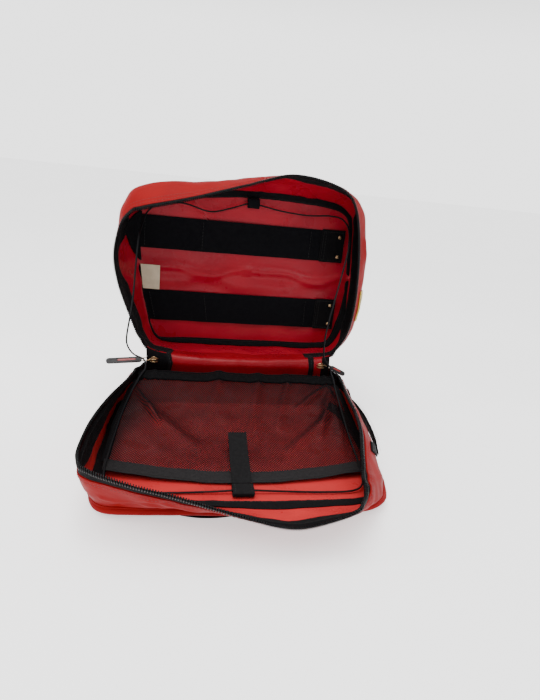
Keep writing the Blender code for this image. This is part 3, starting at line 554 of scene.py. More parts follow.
def lathe_shape(profile, sides):
    """Small closed shape turned round X from (x, radius) steps."""
    turn = np.linspace(0, 2 * math.pi, sides, endpoint=False)
    return stacked([[(x, radius * math.cos(a), radius * math.sin(a)) for a in turn]
                    for x, radius in profile])


def scatter(name, shape, origins, axis_x, axis_y, axis_z):
    """Copies of a small shape (points, faces), one at each origin and axes."""
    points, faces = shape
    axes = np.stack([axis_x, axis_y, axis_z], axis=1)
    placed = np.einsum("vj,njk->nvk", points, axes) + origins[:, None]
    every = []
    for first in range(0, len(origins) * len(points), len(points)):
        every += [tuple(v + first for v in face) for face in faces]
    return mesh_object(name, placed.reshape(-1, 3), every, None, 50)


def placed_shape(name, shape, origin, axes, sharp=40):
    """A shape with its own X, Y and Z put at an origin."""
    points = np.asarray(shape[0]) @ np.array([tuple(a) for a in axes]) + np.array(tuple(origin))
    return mesh_object(name, points, shape[1], None, sharp)


def stitches(name, lines, length=0.0030, gap=0.0014, radius=0.00045):
    """Rows of thread; each line is (points, normals), and threads lie on it."""
    half = length / 2
    shape = lathe_shape([(-half, radius * 0.4), (-half * 0.7, radius), (half * 0.7, radius),
                         (half, radius * 0.4)], 5)
    origins, runs, ups = [], [], []
    for points, normals in lines:
        points = np.asarray(points, float)
        normals = np.broadcast_to(np.asarray(normals, float), points.shape)
        lengths = running(points)
        count = max(1, int(lengths[-1] / (length + gap)))
        goal = (np.arange(count) + 0.5) * lengths[-1] / count
        ahead, behind = (read_along(goal + step, lengths, points) for step in (0.0005, -0.0005))
        origins.append(read_along(goal, lengths, points))
        runs.append(unit(ahead - behind))
        ups.append(unit(read_along(goal, lengths, normals)))
    origins, runs, ups = (np.concatenate(x) for x in (origins, runs, ups))
    sides = unit(np.cross(ups, runs))
    return scatter(name, shape, origins, runs, sides, np.cross(runs, sides) * 0.7)


def finish(item, body, kind, slot, *nodes):
    """Give a piece its material and its body, and hide the nodes it replaces; slot is not used."""
    item.data.materials.clear()
    item.data.materials.append(KINDS[kind])
    if body:
        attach(item, body)
    if nodes:
        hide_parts(*nodes)


def sew(name, lines, body, slot, *sizes, kind="thread"):
    """Stitch lines on a body."""
    finish(stitches(name, lines, *sizes), body, kind, slot)


# ---- materials -----------------------------------------------------------
class Shade:
    """A Principled material under construction, with its node tree."""

    def __init__(self, name, roughness=0.5, gloss=0.5, metallic=0.0):
        self.material = bpy.data.materials.new(name)
        self.material.use_nodes = True
        self.tree = self.material.node_tree
        self.shader = self.tree.nodes["Principled BSDF"]
        self.set(self.shader, {"Roughness": roughness, "Specular IOR Level": gloss,
                               "Metallic": metallic})
        place = self.node("ShaderNodeTexCoord")
        self.solid, self.cloth = place.outputs["Object"], place.outputs["UV"]
        self.height = None

    def set(self, node, values):
        for socket, value in values.items():
            node.inputs[socket].default_value = value

    def node(self, kind, values=None, **settings):
        made = self.tree.nodes.new(kind)
        for key, value in settings.items():
            setattr(made, key, value)
        self.set(made, values or {})
        return made

    def link(self, source, target):
        self.tree.links.new(source, target)

    def noise(self, size, detail):
        """Noise from 0 to 1 with features of a size in metres."""
        made = self.node("ShaderNodeTexNoise", {"Scale": 1 / size, "Detail": detail})
        self.link(self.solid, made.inputs["Vector"])
        return made.outputs["Fac"]

    def threads(self, pitch, direction, where=None):
        """Parallel rounded threads, pitch apart in metres."""
        made = self.node("ShaderNodeTexWave", {"Scale": WAVE_STEP / pitch}, wave_type="BANDS",
                         bands_direction=direction)
        self.link(where or self.cloth, made.inputs["Vector"])
        return made.outputs["Fac"]

    def maths(self, operation, a, b):
        made = self.node("ShaderNodeMath", operation=operation)
        for socket, value in zip(made.inputs, (a, b)):
            if isinstance(value, (int, float)):
                socket.default_value = value
            else:
                self.link(value, socket)
        return made.outputs[0]

    def blend(self, a, share_a, b, share_b):
        return self.maths("ADD", self.maths("MULTIPLY", a, share_a), self.maths("MULTIPLY", b, share_b))

    def colours(self, source, dark, light, start=0.3, end=0.7):
        """Colour that runs from dark to light with a value."""
        ramp = self.node("ShaderNodeValToRGB")
        for element, place, colour in zip(ramp.color_ramp.elements, (start, end), (dark, light)):
            element.position = place
            element.color = (*colour, 1)
        self.link(source, ramp.inputs["Fac"])
        self.link(ramp.outputs["Color"], self.shader.inputs["Base Color"])

    def roughness(self, size, detail, low, high):
        """Patches that are rougher and smoother."""
        made = self.node("ShaderNodeMapRange", {"From Min": 0.3, "From Max": 0.7, "To Min": low,
                                                "To Max": high})
        self.link(self.noise(size, detail), made.inputs["Value"])
        self.link(made.outputs["Result"], self.shader.inputs["Roughness"])

    def bump(self, source, depth, strength):
        """Relief of a depth in metres, over any relief set before."""
        made = self.node("ShaderNodeBump", {"Distance": depth, "Strength": strength})
        self.link(source, made.inputs["Height"])
        if self.height:
            self.link(self.height, made.inputs["Normal"])
        self.height = made.outputs["Normal"]
        self.link(self.height, self.shader.inputs["Normal"])


def coated_fabric(name, dark, light, gloss, coat, rough=(0.22, 0.40)):
    """Coated fabric: thread pattern under a smooth skin, soft creases."""
    shade = Shade(name, gloss=gloss)
    shade.colours(shade.noise(0.06, 5), dark, light)
    shade.roughness(0.03, 6, *rough)
    weave = shade.maths("MULTIPLY", shade.threads(0.0011, "X"), shade.threads(0.0011, "Y"))
    shade.bump(shade.noise(0.028, 3), 0.0016, 0.5)
    shade.bump(shade.noise(0.006, 2), 0.0003, 0.35)
    shade.bump(weave, 0.00005, 0.5)
    shade.set(shade.shader, {"Coat Weight": coat, "Coat Roughness": 0.12})
    return shade.material


def webbing(name, dark, light, gloss, pitch=0.0016):
    """Woven tape: ribs across it, fine threads along it, a little dust."""
    shade = Shade(name, gloss=gloss)
    both = shade.blend(shade.threads(pitch, "X"), 0.6, shade.threads(pitch * 0.45, "Y"), 0.4)
    fuzz = shade.noise(0.0012, 4)
    shade.colours(shade.blend(both, 0.6, fuzz, 0.4), dark, light, 0.25, 0.85)
    shade.roughness(0.004, 4, 0.62, 0.88)
    shade.bump(both, 0.00022, 0.8)
    shade.bump(fuzz, 0.0001, 0.4)
    shade.set(shade.shader, {"Sheen Weight": 0.02, "Sheen Roughness": 0.5})
    return shade.material


def grained(name, dark, light, grain, relief, rough, gloss=0.5, metallic=0.0):
    """Mottled material with a fine relief.

    grain is a size and a detail, relief adds a depth and a strength to its own,
    and rough is one value or a size, a detail and the values that its patches lie between.
    """
    patches = isinstance(rough, tuple)
    shade = Shade(name, 0.5 if patches else rough, gloss, metallic)
    shade.colours(shade.noise(*grain), dark, light)
    if patches:
        shade.roughness(*rough)
    shade.bump(shade.noise(*relief[:2]), *relief[2:])
    return shade.material


def braided_cord():
    """Two sets of threads that cross at 45 degrees."""
    shade = Shade("braided_cord", 0.65, 0.12)
    turned = shade.node("ShaderNodeMapping", {"Rotation": (0, 0, math.radians(45))})
    shade.link(shade.cloth, turned.inputs["Vector"])
    braid = shade.maths("MAXIMUM", *(shade.threads(0.25, way, turned.outputs["Vector"])
                                     for way in "XY"))
    shade.colours(braid, (0.0014, 0.0014, 0.0018), (0.0070, 0.0070, 0.0080))
    shade.bump(braid, 0.00018, 0.7)
    return shade.material


def spacer_mesh():
    """Knitted padding cover with round cells."""
    shade = Shade("spacer_mesh", 0.8, 0.2)
    cells = shade.node("ShaderNodeTexVoronoi", {"Scale": 1 / 0.0032, "Randomness": 0.35},
                       feature="DISTANCE_TO_EDGE")
    shade.link(shade.solid, cells.inputs["Vector"])
    shade.colours(cells.outputs["Distance"], (0.012, 0.012, 0.014), (0.002, 0.002, 0.0025), 0.05, 0.3)
    shade.bump(cells.outputs["Distance"], 0.0009, -0.8)
    return shade.material


def satin_label():
    shade = Shade("satin_label", 0.62)
    shade.colours(shade.noise(0.012, 4), (0.44, 0.36, 0.25), (0.56, 0.47, 0.335))
    shade.bump(shade.maths("MULTIPLY", shade.threads(0.0005, "X"), shade.threads(0.0012, "Y")),
               0.00005, 0.6)
    return shade.material


def yellow_tag():
    shade = Shade("yellow_tag", 0.45)
    shade.colours(shade.noise(0.008, 4), (0.34, 0.21, 0.006), (0.46, 0.31, 0.012))
    shade.bump(shade.threads(0.0009, "X"), 0.00006, 0.6)
    return shade.material


def pale_floor():
    shade = Shade("pale_floor", 0.9, 0.0)
    shade.set(shade.shader, {"Emission Color": (1.0, 1.0, 1.0, 1.0), "Emission Strength": 0.9})
    shade.colours(shade.noise(0.4, 2), (0.85, 0.85, 0.85), (0.88, 0.88, 0.88))
    return shade.material


def build_materials():
    """Every material by a short name."""
    return {
        "red": coated_fabric("red_outside", (0.178, 0.0050, 0.0062), (0.240, 0.0086, 0.0092),
                             0.03, 0.0, (0.42, 0.60)),
        # red_in_painted_light: the same red fabric painted about twice as bright as the outside, which
        # paints light onto the base's inside, whose floor faces up.
        "red_in_painted_light": coated_fabric("red_inside_painted_light", (0.36, 0.019, 0.021), (0.45, 0.027, 0.028), 0.10, 0.02),
        # red_lid_painted_light: the same red fabric painted brighter and bluer than the outside for the
        # lid's interior, which is painted light and a painted bluish reflection.
        "red_lid_painted_light": coated_fabric("red_lid_inside_painted_light", (0.235, 0.0040, 0.0130), (0.315, 0.0070, 0.0175),
                                 0.13, 0.03),
        # red_hinge_painted_shade: the same red fabric painted darker than the lid's interior, which is
        # painted shade on the hinge between the halves.
        "red_hinge_painted_shade": coated_fabric("red_hinge_painted_shade", (0.160, 0.0022, 0.0065), (0.215, 0.0042, 0.0090),
                                   0.10, 0.0),
        "webbing": webbing("black_webbing", (0.0012, 0.0012, 0.0018), (0.0040, 0.0040, 0.0055), 0.06),
        "binding": webbing("black_binding", (0.0013, 0.0012, 0.0016), (0.0048, 0.0045, 0.0052), 0.08,
                           0.0011),
        "strap": webbing("strap_webbing", (0.0028, 0.0027, 0.0030), (0.0085, 0.0082, 0.0088), 0.10),
        "hem": webbing("hem_tape", (0.0048, 0.0042, 0.0046), (0.0150, 0.0135, 0.0140), 0.18, 0.0011),
        "tape": webbing("zip_tape", (0.0010, 0.0009, 0.0012), (0.0034, 0.0031, 0.0038), 0.05, 0.0009),
        "net": grained("black_net", (0.0030, 0.0015, 0.0019), (0.0100, 0.0048, 0.0058), (0.002, 3),
                       (0.0006, 2, 0.00012, 0.6), (0.02, 3, 0.30, 0.60), 0.12),
        "teeth": grained("zip_teeth", (0.0014, 0.0014, 0.0017), (0.0045, 0.0045, 0.0050), (0.004, 3),
                         (0.0009, 2, 0.0001, 0.4), (0.002, 2, 0.14, 0.30), 0.15),
        "thread": grained("black_thread", (0.004, 0.004, 0.0045), (0.016, 0.016, 0.017), (0.001, 2),
                          (0.0004, 2, 0.0001, 0.5), 0.6, 0.2),
        "red_thread": grained("red_thread", (0.05, 0.002, 0.0025), (0.13, 0.005, 0.005), (0.001, 2),
                              (0.0004, 2, 0.0001, 0.5), 0.6),
        "plastic": grained("moulded_plastic", (0.005, 0.005, 0.0055), (0.011, 0.011, 0.012), (0.01, 4),
                           (0.0006, 2, 0.00004, 0.5), (0.003, 5, 0.34, 0.52)),
        "metal": grained("nickel", (0.26, 0.155, 0.080), (0.50, 0.35, 0.20), (0.004, 4),
                         (0.0008, 3, 0.00004, 0.5), (0.002, 5, 0.18, 0.42), metallic=1.0),
        "rubber": grained("puller_rubber", (0.004, 0.004, 0.0045), (0.010, 0.009, 0.0095), (0.006, 3),
                          (0.0005, 2, 0.00005, 0.5), (0.002, 3, 0.40, 0.62), 0.3),
        "inlay": grained("puller_inlay", (0.16, 0.008, 0.008), (0.26, 0.016, 0.013), (0.004, 3),
                         (0.0006, 2, 0.00004, 0.5), 0.4),
        "cord": braided_cord(),
        "foam": spacer_mesh(),
        "label": satin_label(),
        "tag": yellow_tag(),
        "ground": pale_floor(),
    }


# ---- trays ---------------------------------------------------------------
def tray_grid(wall, centre, top):
    """Grid of a tray's outer face, from the floor's middle out and up the wall.

    top is the wall share at which the fabric ends, one for each column.
    """
    up = wall.at(wall.places[:, None], np.linspace(0, 1, WALL_ROWS)[None, :] * top[:, None])
    rings = np.linspace(0.03, 1, FLOOR_RINGS, endpoint=False) ** 0.85
    floor = centre + (up[:, :1] - centre) * rings[None, :, None]
    grid = np.concatenate([floor, up], axis=1)
    first, last = FLOOR_RINGS - CORNER_ROWS, FLOOR_RINGS + CORNER_ROWS
    for _ in range(2):
        beside = grid[:, first - 1:last - 1] + grid[:, first + 1:last + 1]
        grid[:, first:last] = 0.5 * grid[:, first:last] + 0.25 * beside
    return grid


def capped_sheet(name, outer, inner, sharp):
    """Closed sheet round a middle, whose small hole is capped on each side."""
    item = two_sided(name, outer, inner, closed=True, sharp=sharp)
    columns, rows = outer.shape[:2]
    total = columns * rows

    def cap(work):
        rim = [f for f in work.faces if {v.index % total % rows for v in f.verts} == {0}]
        bmesh.ops.delete(work, geom=rim, context="FACES_ONLY")
        for shift, step in ((0, 1), (total, -1)):
            work.faces.new([work.verts[i * rows + shift] for i in range(columns)][::step])

    rework(item.data, cap)
    return item


def tray(body, wall, centre, top, lift, into, inside):
    """A coated-fabric tray, with its inside and its outside as two skins of one piece."""
    outer = tray_grid(wall, np.array(centre), top)
    normal = facing(grid_normals(outer, True), -3, wall.normal[:, -3])
    inner = outer - normal * (FABRIC - 0.0004) + np.asarray(into) * lift(outer)[..., None]
    item = capped_sheet(body + "_tray", outer, inner, 55)
    finish(item, body, "red", "red_fabric", body + "_shell")
    # The inner skin takes the copy named by inside, whose colour is painted light, with a painted bluish
    # reflection in the lid.
    item.data.materials.append(KINDS[inside])
    for face in item.data.polygons:
        if min(face.vertices) >= outer[..., 0].size:
            face.material_index = 1


def zip_tape(body, wall, last, top, low):
    """Tape from inside the wall up to the teeth, past the fabric's edge.

    top and low list (place, share) pairs: the fabric's edge and the tape's.
    """
    place = wall.even_places(-0.35, last + 0.35, 0.004, 0.9)
    edge, foot = (np.interp(place, *zip(*pairs))[:, None] for pairs in (top, low))
    share = foot + (0.975 - foot) * np.linspace(0, 1, 16)[None, :]
    over = np.clip((share - edge + 0.03) / 0.05, 0, 1)
    depth = (FABRIC + 0.0007) * (1 - over) + (0.4 * FABRIC) * over
    grid = wall.at(place[:, None], share, depth)
    normal = wall.pick(wall.normal, place[:, None], share)
    ripple = 0.0004 * wobble(grid, 0.012, 11)
    grid = grid - normal * np.clip(ripple, 0, 1)[..., None]
    item = two_sided(body + "_tape", grid, grid - unit(normal) * 0.0009, sharp=60)
    finish(item, body, "tape", "black_zip", body + "_zip_tape")
    lines = [(wall.at(place, level, FABRIC + 0.0018), -wall.pick(wall.normal, place, level))
             for level in (foot[:, 0] + 0.03, edge[:, 0] - 0.03)]
    sew(body + "_tape_stitches", lines, body, "black_zip")


def zip_coil(body, wall, first, last):
    """Coil along the rim, flattened, with its heads on the free edge."""
    place = wall.even_places(first, last, 0.001, 1.0)
    origin = wall.at(place, 0.975, 0.45 * FABRIC)
    run = unit(np.gradient(origin, axis=0))
    out = unit(np.cross(run, unit(wall.at(place, 1.0) - wall.at(place, 0.93))))
    lengths = running(origin)
    turns = np.arange(int(lengths[-1] / TOOTH_PITCH) * COIL_STEPS) / COIL_STEPS
    origin, run, up, out = (read_along(turns * TOOTH_PITCH, lengths, rows)
                            for rows in (origin, run, np.cross(out, run), out))
    angle = turns * 2 * math.pi
    path = (origin + up * (COIL_HIGH * squared(np.cos(angle), 0.7))[:, None]
            + out * (COIL_THICK * squared(np.sin(angle), 0.7))[:, None]
            + run * (0.0003 * np.sin(angle * 2))[:, None])
    finish(tube(body + "_teeth", path, 0.00072, 6), body, "teeth", "black_zip", body + "_zip_coil")
    core = tube(body + "_teeth_core", wall.at(place[::3], 0.965, 0.45 * FABRIC), 0.0010, 6)
    finish(core, body, "tape", "black_zip")


def seam_binding(body, wall, lift, sizes):
    """Folded tape over the seam between floor and wall, with its stitching.

    sizes lists (place, size) pairs; the tape runs from the first to the last.
    """
    place = wall.even_places(sizes[0][0], sizes[-1][0], 0.0035, 0.0)
    size = np.interp(place, *zip(*sizes))[:, None]
    foot = wall.at(place, 0.0)
    low = wall.at(place, 0.16 * size[:, 0], FABRIC + 0.0004)
    side = unit(foot - wall.at(place, 0.0, 1.0))
    lift = np.asarray(lift, float)
    side = unit(side - lift * (side @ lift)[:, None])
    inner = foot - side * (FABRIC + 0.0110 * size) + lift * (FABRIC + 0.0005)
    middle = foot - side * (FABRIC + 0.0037 * size) + lift * (FABRIC + 0.0009 + 0.0025 * size)
    share = np.linspace(0, 1, 9)[None, :, None]
    grid = (inner[:, None] * (1 - share) ** 2 + 2 * middle[:, None] * share * (1 - share)
            + low[:, None] * share ** 2)
    normal = facing(grid_normals(grid, False), 4, lift)
    upper = grid + normal * (0.0011 + 0.0005 * wobble(grid, 0.006, 21))[..., None]
    item = two_sided(body + "_binding", upper, grid)
    finish(item, body, "binding", "black_webbing", body + "_seam_binding")
    sew(body + "_binding_stitches", [(upper[:, 2] + lift * 0.0001, lift)], body, "black_webbing")


def outer_seams(body, wall, last, edge):
    """Red stitching outside the zip, and the welt round the tray's seam."""
    along = wall.even_places(0.2, last - 0.2, 0.004, 0.85)
    lines = []
    for drop in (0.035, 0.085):
        share = np.interp(along, *zip(*edge)) - drop
        lines.append((wall.at(along, share, -0.0001), wall.pick(wall.normal, along, share)))
    sew(body + "_outer_stitches", lines, body, "red_fabric", 0.0026, 0.0018, 0.0004,
        kind="red_thread")
    welt = tube(body + "_outer_welt", wall.at(wall.places[::2], 0.012, -0.0002), 0.0016, 8, True)
    finish(welt, body, "red", "red_fabric")


def base_relief(grid):
    """Soft bulges of the base's floor."""
    bulge = np.clip(wobble(grid, 0.07, 31) + 0.3, 0, 1) * 0.0016
    return bulge * (1 - np.clip((grid[..., 2] - FLOOR_Z) / 0.01, 0, 1))


def lid_relief(grid):
    """Two long creases and soft bulges of the lid's front panel."""
    height, depth = grid[..., 2] - HINGE_Z, grid[..., 1] - HINGE_Y
    wave = 0.006 * np.sin(grid[..., 0] * 34) + 0.003 * np.sin(grid[..., 0] * 71 + 1)
    fold = 0.0026 * np.exp(-((height - 0.122 - wave) / 0.007) ** 2)
    fold += 0.0018 * np.exp(-((height - 0.105 + wave) / 0.011) ** 2)
    bulge = np.clip(wobble(grid, 0.06, 41) + 0.2, 0, 1) * 0.0022
    return (fold + bulge) * np.clip((depth - 0.080) / 0.006, 0, 1)


def build_trays(base, lid):
    """Both trays with their zips, bindings and outer seams."""
    # Each tray's inner skin takes its own copy of the red fabric: painted light in the base, painted light
    # with a bluish painted reflection in the lid.
    for body, wall, last, edge, foot, binding, centre, lift, into, inside in (
            ("base", base, BASE_ZIP_END, BASE_EDGE, BASE_FOOT, BASE_BINDING, (0, 0, FLOOR_Z),
             base_relief, (0, 0, 1), "red_in_painted_light"),
            ("lid", lid, LID_ZIP_END, LID_EDGE, LID_FOOT, LID_BINDING,
             lid_points((*LID_CENTRE, LID_DEPTH)), lid_relief, LID_IN, "red_lid_painted_light")):
        top = np.where(wall.places <= last, np.interp(wall.places, *zip(*edge)), HINGE_TOP)
        tray(body, wall, centre, top, lift, into, inside)
        zip_tape(body, wall, last, edge, foot)
        zip_coil(body, wall, 0.2, last - 0.2)
        seam_binding(body, wall, into, binding)
        outer_seams(body, wall, last, edge)


# ---- base fittings -------------------------------------------------------
def edge_x(edge, y):
    return np.interp(y, [p[1] for p in edge], [p[0] for p in edge])


def net_height(y):
    return MESH_FRONT_Z + (y - MESH_LEFT[0][1]) * MESH_SLOPE


def net_point(across, back):
    """Point of the net pocket: across 0..1 left to right, back 0..1 to the hinge."""
    front = MESH_LEFT[0][1] - MESH_FRONT_BOW * np.sin(math.pi * np.clip(across, 0, 1))
    y = front + (NET_BACK - front) * back
    left, right = edge_x(MESH_LEFT, y), edge_x(MESH_RIGHT, y)
    base = np.stack([left + (right - left) * across, y, net_height(y)], axis=-1)
    flat = base * (1, 1, 0)
    inside = np.clip(np.minimum(np.minimum(across, 1 - across) * 9, back * 6), 0, 1)
    sag = -0.0035 * np.sin(math.pi * across) * np.sin(math.pi * back)
    z = sag + 0.0034 * wobble(flat, 0.060, 51) + 0.0012 * wobble(flat, 0.022, 52)
    for x0, y0, x1, y1, height, width in NET_FOLDS:
        z = z + ridge(flat, (x0, y0, 0), (x1, y1, 0), height, width)
    base[..., 2] += z * inside + 0.0008
    return base


def net_mesh(name, point, width, length, cell, hole, thickness):
    """Diamond net over point(across, back): every cell a frame of four threads."""
    half = cell / 2
    columns, rows = int(width / half), int(length / half)
    i, k = np.meshgrid(np.arange(1, columns), np.arange(1, rows), indexing="ij")
    odd = (i + k) % 2 == 1
    i, k = i[odd], k[odd]
    corner = np.array([(-1, 0), (0, -1), (1, 0), (0, 1)])
    key = (i[:, None] + corner[:, 0]) * (rows + 2) + k[:, None] + corner[:, 1]
    unique, index = np.unique(key, return_inverse=True)
    index = index.reshape(key.shape)
    centre = np.stack([i, k], axis=-1)[:, None] * half
    inner = (centre + corner[None] * half * hole).reshape(-1, 2)
    u = np.concatenate([(unique // (rows + 2)) * half, inner[:, 0]])
    v = np.concatenate([(unique % (rows + 2)) * half, inner[:, 1]])
    middle, ahead, upward = (point((u + du) / (columns * half), (v + dv) / (rows * half))
                             for du, dv in ((0, 0), (0.0004, 0), (0, 0.0004)))
    normal = unit(np.cross(ahead - middle, upward - middle))
    inside = len(unique) + np.arange(len(i) * 4).reshape(len(i), 4)
    total = len(u)
    faces = []
    for c in range(4):
        d = (c + 1) % 4
        top = np.stack([index[:, c], index[:, d], inside[:, d], inside[:, c]], axis=1)
        side = np.stack([inside[:, c], inside[:, d], inside[:, d] + total, inside[:, c] + total], axis=1)
        faces += [top, top[:, ::-1] + total, side]
    points = np.concatenate([middle + normal * thickness / 2, middle - normal * thickness / 2])

    def close_border(work):
        """Side faces along the net's outer edge."""
        border = [e for e in work.edges if e.is_boundary]
        loops = {v.index for e in border for v in e.verts}
        for edge in border:
            a, b = (v.index for v in edge.verts)
            if a < total and a + total in loops:
                ends = [work.verts[n] for n in (a, b, b + total, a + total)]
                if not any(set(ends) == set(f.verts) for f in ends[0].link_faces):
                    work.faces.new(ends)

    return mesh_object(name, points, np.concatenate(faces).tolist(), sharp=None, change=close_border)


def build_net_pocket():
    """Net, hem, double band at the hinge, and the tape down each side."""
    across = np.linspace(0, 1, 61)
    net = net_mesh("net_pocket", net_point, NET_WIDTH, NET_LENGTH, NET_CELL, 0.73, 0.0006)
    finish(net, "base", "net", "black_mesh", "mesh_pocket")

    edge = net_point(across, np.zeros(61))
    share = np.linspace(0, 1, 9)[None, :, None]
    front = edge + (0, -HEM_WIDTH, -0.0008)
    grid = front[:, None] * (1 - share) + (edge[:, None] + (0, 0.003, 0.0010)) * share
    grid[..., 2] += 0.0010 * wobble(grid, 0.030, 61) + 0.0004 * wobble(grid, 0.008, 62)
    grid[:, 0, 2] += 0.0010 * np.clip(wobble(grid[:, 0], 0.02, 63), -1, 1)
    hem = soft_strip("net_hem", grid, 0.0017, edge=0.0016)
    finish(hem, "base", "hem", "black_webbing", "mesh_pocket_hem")
    sew("net_hem_stitches", [(grid[:, k] + (0, 0, 0.0018), (0, 0, 1)) for k in (7, 1)], "base",
        "black_webbing", 0.0032, 0.0018, 0.0005)

    back = net_point(across, np.ones(61))
    step = np.array((0, 1, MESH_SLOPE)) * (MESH_BAND + 0.001)
    gather = 0.0022 * np.clip(np.abs(across - 0.5) * 2 - 0.72, 0, 1) / 0.28
    band = back[:, None] + step * np.linspace(-0.15, 1, 8)[None, :, None]
    band[..., 2] += (0.0009 * wobble(band, 0.007, 65)
                     + gather[:, None] * np.sin(across * 240)[:, None] + 0.001)
    finish(soft_strip("net_band", band, 0.0009), "base", "tape", "black_webbing",
           "mesh_pocket_top_band")
    lifted = band + (0, -0.0004, 0.0016)
    double = net_mesh("net_band_mesh",
                      lambda u, v: read_grid(lifted, np.clip(u, 0, 1) * 60, np.clip(v, 0, 1) * 7),
                      0.28, MESH_BAND + 0.002, 0.0028, 0.45, 0.0005)
    finish(double, "base", "binding", "black_mesh")
    roll = tube("net_band_edge", lifted[:, 7] + (0, 0.0006, 0.0002), 0.0012)
    finish(roll, "base", "binding", "black_webbing")

    for name, side in (("left", 0), ("right", 1)):
        line = net_point(np.full(30, side), np.linspace(0, 1, 30))
        width = np.array((-0.0055 if side else 0.0055, 0, 0.0006))
        grid = line[:, None] - width * 0.6 + width * 1.6 * np.linspace(0, 1, 5)[None, :, None]
        grid[..., 2] += 0.0005 * wobble(grid, 0.01, 66)
        strip = soft_strip("net_side_" + name, grid[:, ::-1] if side else grid, 0.0011)
        finish(strip, "base", "binding", "black_webbing")


def outline_stitches(grid, rows, columns, lift):
    """Lines of thread round a rectangle of a strap's grid."""
    normal = grid_normals(grid, False)
    (a, b), (c, d) = rows, columns
    return [np.concatenate([sheet[a:b, c], sheet[b, c:d], sheet[a + 1:b + 1, d][::-1],
                            sheet[a, c + 1:d + 1][::-1], sheet[a:a + 1, c]])
            for sheet in (grid + normal * lift, normal)]


def webbing_loop(name, x, width, middle, reach, power, thickness, place=np.asarray):
    """Flat loop of webbing across X; its section is a rounded box round middle."""
    turn = np.linspace(0, 2 * math.pi, 40, endpoint=False)
    section = middle + squared(np.column_stack([np.cos(turn), np.sin(turn)]), power) * reach
    outer = place(strap_grid(np.column_stack([np.full(40, x), section]), -width))
    inward = unit((place(np.array((0, *middle))) - outer) * (0, 1, 1))
    return two_sided(name, outer, outer + inward * thickness, closed=True), outer, inward


def build_closure():
    """Hook-and-loop strap from the front seam over the hem, and its loop."""
    floor = FLOOR_Z + FABRIC + TAPE + 0.0006
    route = [(-0.1000, floor + 0.0042), (-0.0925, floor + 0.0065), (-0.085, floor + 0.0095),
             (-0.065, 0.0385), (-0.045, net_height(-0.045) + 0.0058),
             (-0.032, net_height(-0.032) + 0.0062), (-0.020, net_height(-0.020) + 0.0058)]
    line = spline(route, np.linspace(0, 6, 49), False)
    grid = strap_grid(np.column_stack([np.full(49, STRAP_X), line]), -STRAP_WIDTH, 13)
    grid[..., 2] += 0.0004 * wobble(grid, 0.012, 71)
    strap = soft_strip("closure_strap_piece", grid, 0.0024, edge=0.0012)
    finish(strap, "closure_strap", "strap", "black_webbing", "closure_strap")
    lines = [outline_stitches(grid, rows, (1, 11), 0.0025) for rows in ((36, 47), (2, 12))]
    normal = grid_normals(grid, False)[:, 1:12]
    lines += [(grid[row, 1:12] + normal[row] * 0.0025, normal[row]) for row in (28, 44)]
    sew("closure_strap_stitches", lines, "closure_strap", "black_webbing", 0.0026, 0.0013, 0.0004)

    loop, outer, inward = webbing_loop("front_loop", STRAP_X, STRAP_WIDTH + 0.0012,
                                       (-0.1140, floor + 0.0039), (0.0105, 0.0039), 0.55, 0.0014)
    finish(loop, "base", "strap", "black_webbing", "front_cord_loop")
    top = [(outer[6:15, k] - inward[6:15, k] * 0.0001, (0, 0, 1)) for k in (1, 7)]
    sew("front_loop_stitches", top, "base", "black_webbing", 0.0024, 0.0012, 0.0004)


def build_carry_handle(base):
    """Padded webbing grip on the right wall, between two sewn patches."""
    share = np.linspace(0, 1, 57)[:, None]
    out = np.array((math.cos(HANDLE_LEAN), 0, math.sin(HANDLE_LEAN)))
    centre = np.array(HANDLE_FRONT) * (1 - share) + np.array(HANDLE_BACK) * share
    centre = centre + out * HANDLE_RISE * np.sin(math.pi * share) ** 0.8
    grid = strap_grid(centre, -0.022, 11, (-out[2], 0, out[0]))
    grid = grid + out * (0.0005 * wobble(grid, 0.014, 81))[..., None]
    handle = soft_strip("carry_handle_piece", grid, -0.0032, edge=0.0016)
    finish(handle, "carry_handle", "webbing", "black_webbing", "carry_handle")
    normal = grid_normals(grid, False)
    normal = np.where(normal[..., :1] > 0, normal, -normal)[2:-2]
    lines = [(grid[2:-2, k] + normal[:, k] * 0.0033, normal[:, k]) for k in (1, 9)]
    sew("carry_handle_stitches", lines, "carry_handle", "black_webbing")
    near = np.minimum(np.arange(15), 14 - np.arange(15))
    thick = 0.0021 * np.clip(0.55 + 0.45 * np.minimum(near[:, None], near[None, :]), 0, 1)
    for name, place in (("front", 16.45), ("back", 18.75)):
        along = np.linspace(place - 0.17, place + 0.17, 15)[:, None]
        shares = np.linspace(0.40, 0.72, 15)[None, :]
        grid = base.at(along, shares, -0.0004)
        normal = base.pick(base.normal, along, shares)
        outer = grid + normal * thick[..., None]
        patch = two_sided("handle_patch_" + name + "_piece", outer, grid)
        finish(patch, "base", "webbing", "black_webbing", "handle_patch_" + name)
        lines = []
        for a, b in (((1, 1), (1, 13)), ((1, 13), (13, 13)), ((13, 13), (13, 1)), ((13, 1), (1, 1)),
                     ((1, 1), (13, 13)), ((1, 13), (13, 1))):
            i, k = np.linspace(a, b, 13).round().astype(int).T
            lines.append((outer[i, k] - normal[i, k] * 0.0001, normal[i, k]))
        sew("handle_patch_" + name + "_stitches", lines, "base", "black_webbing", 0.0024, 0.0012,
            0.0004)


# ---- lid fittings --------------------------------------------------------
def lid_grid(x0, x1, low, high, depth, columns, rows, lean=0.0):
    """Grid on the lid from x0 to x1 and low to high, at a depth; lean shifts x0 at the top."""
    share = np.linspace(0, 1, columns)[:, None]
    height = np.linspace(low, high, rows)[None, :]
    x = x0 + (x1 - x0) * share + lean * (1 - share) * (height - low) / (high - low)
    return lid_points(np.stack(np.broadcast_arrays(x, height, depth), axis=-1))


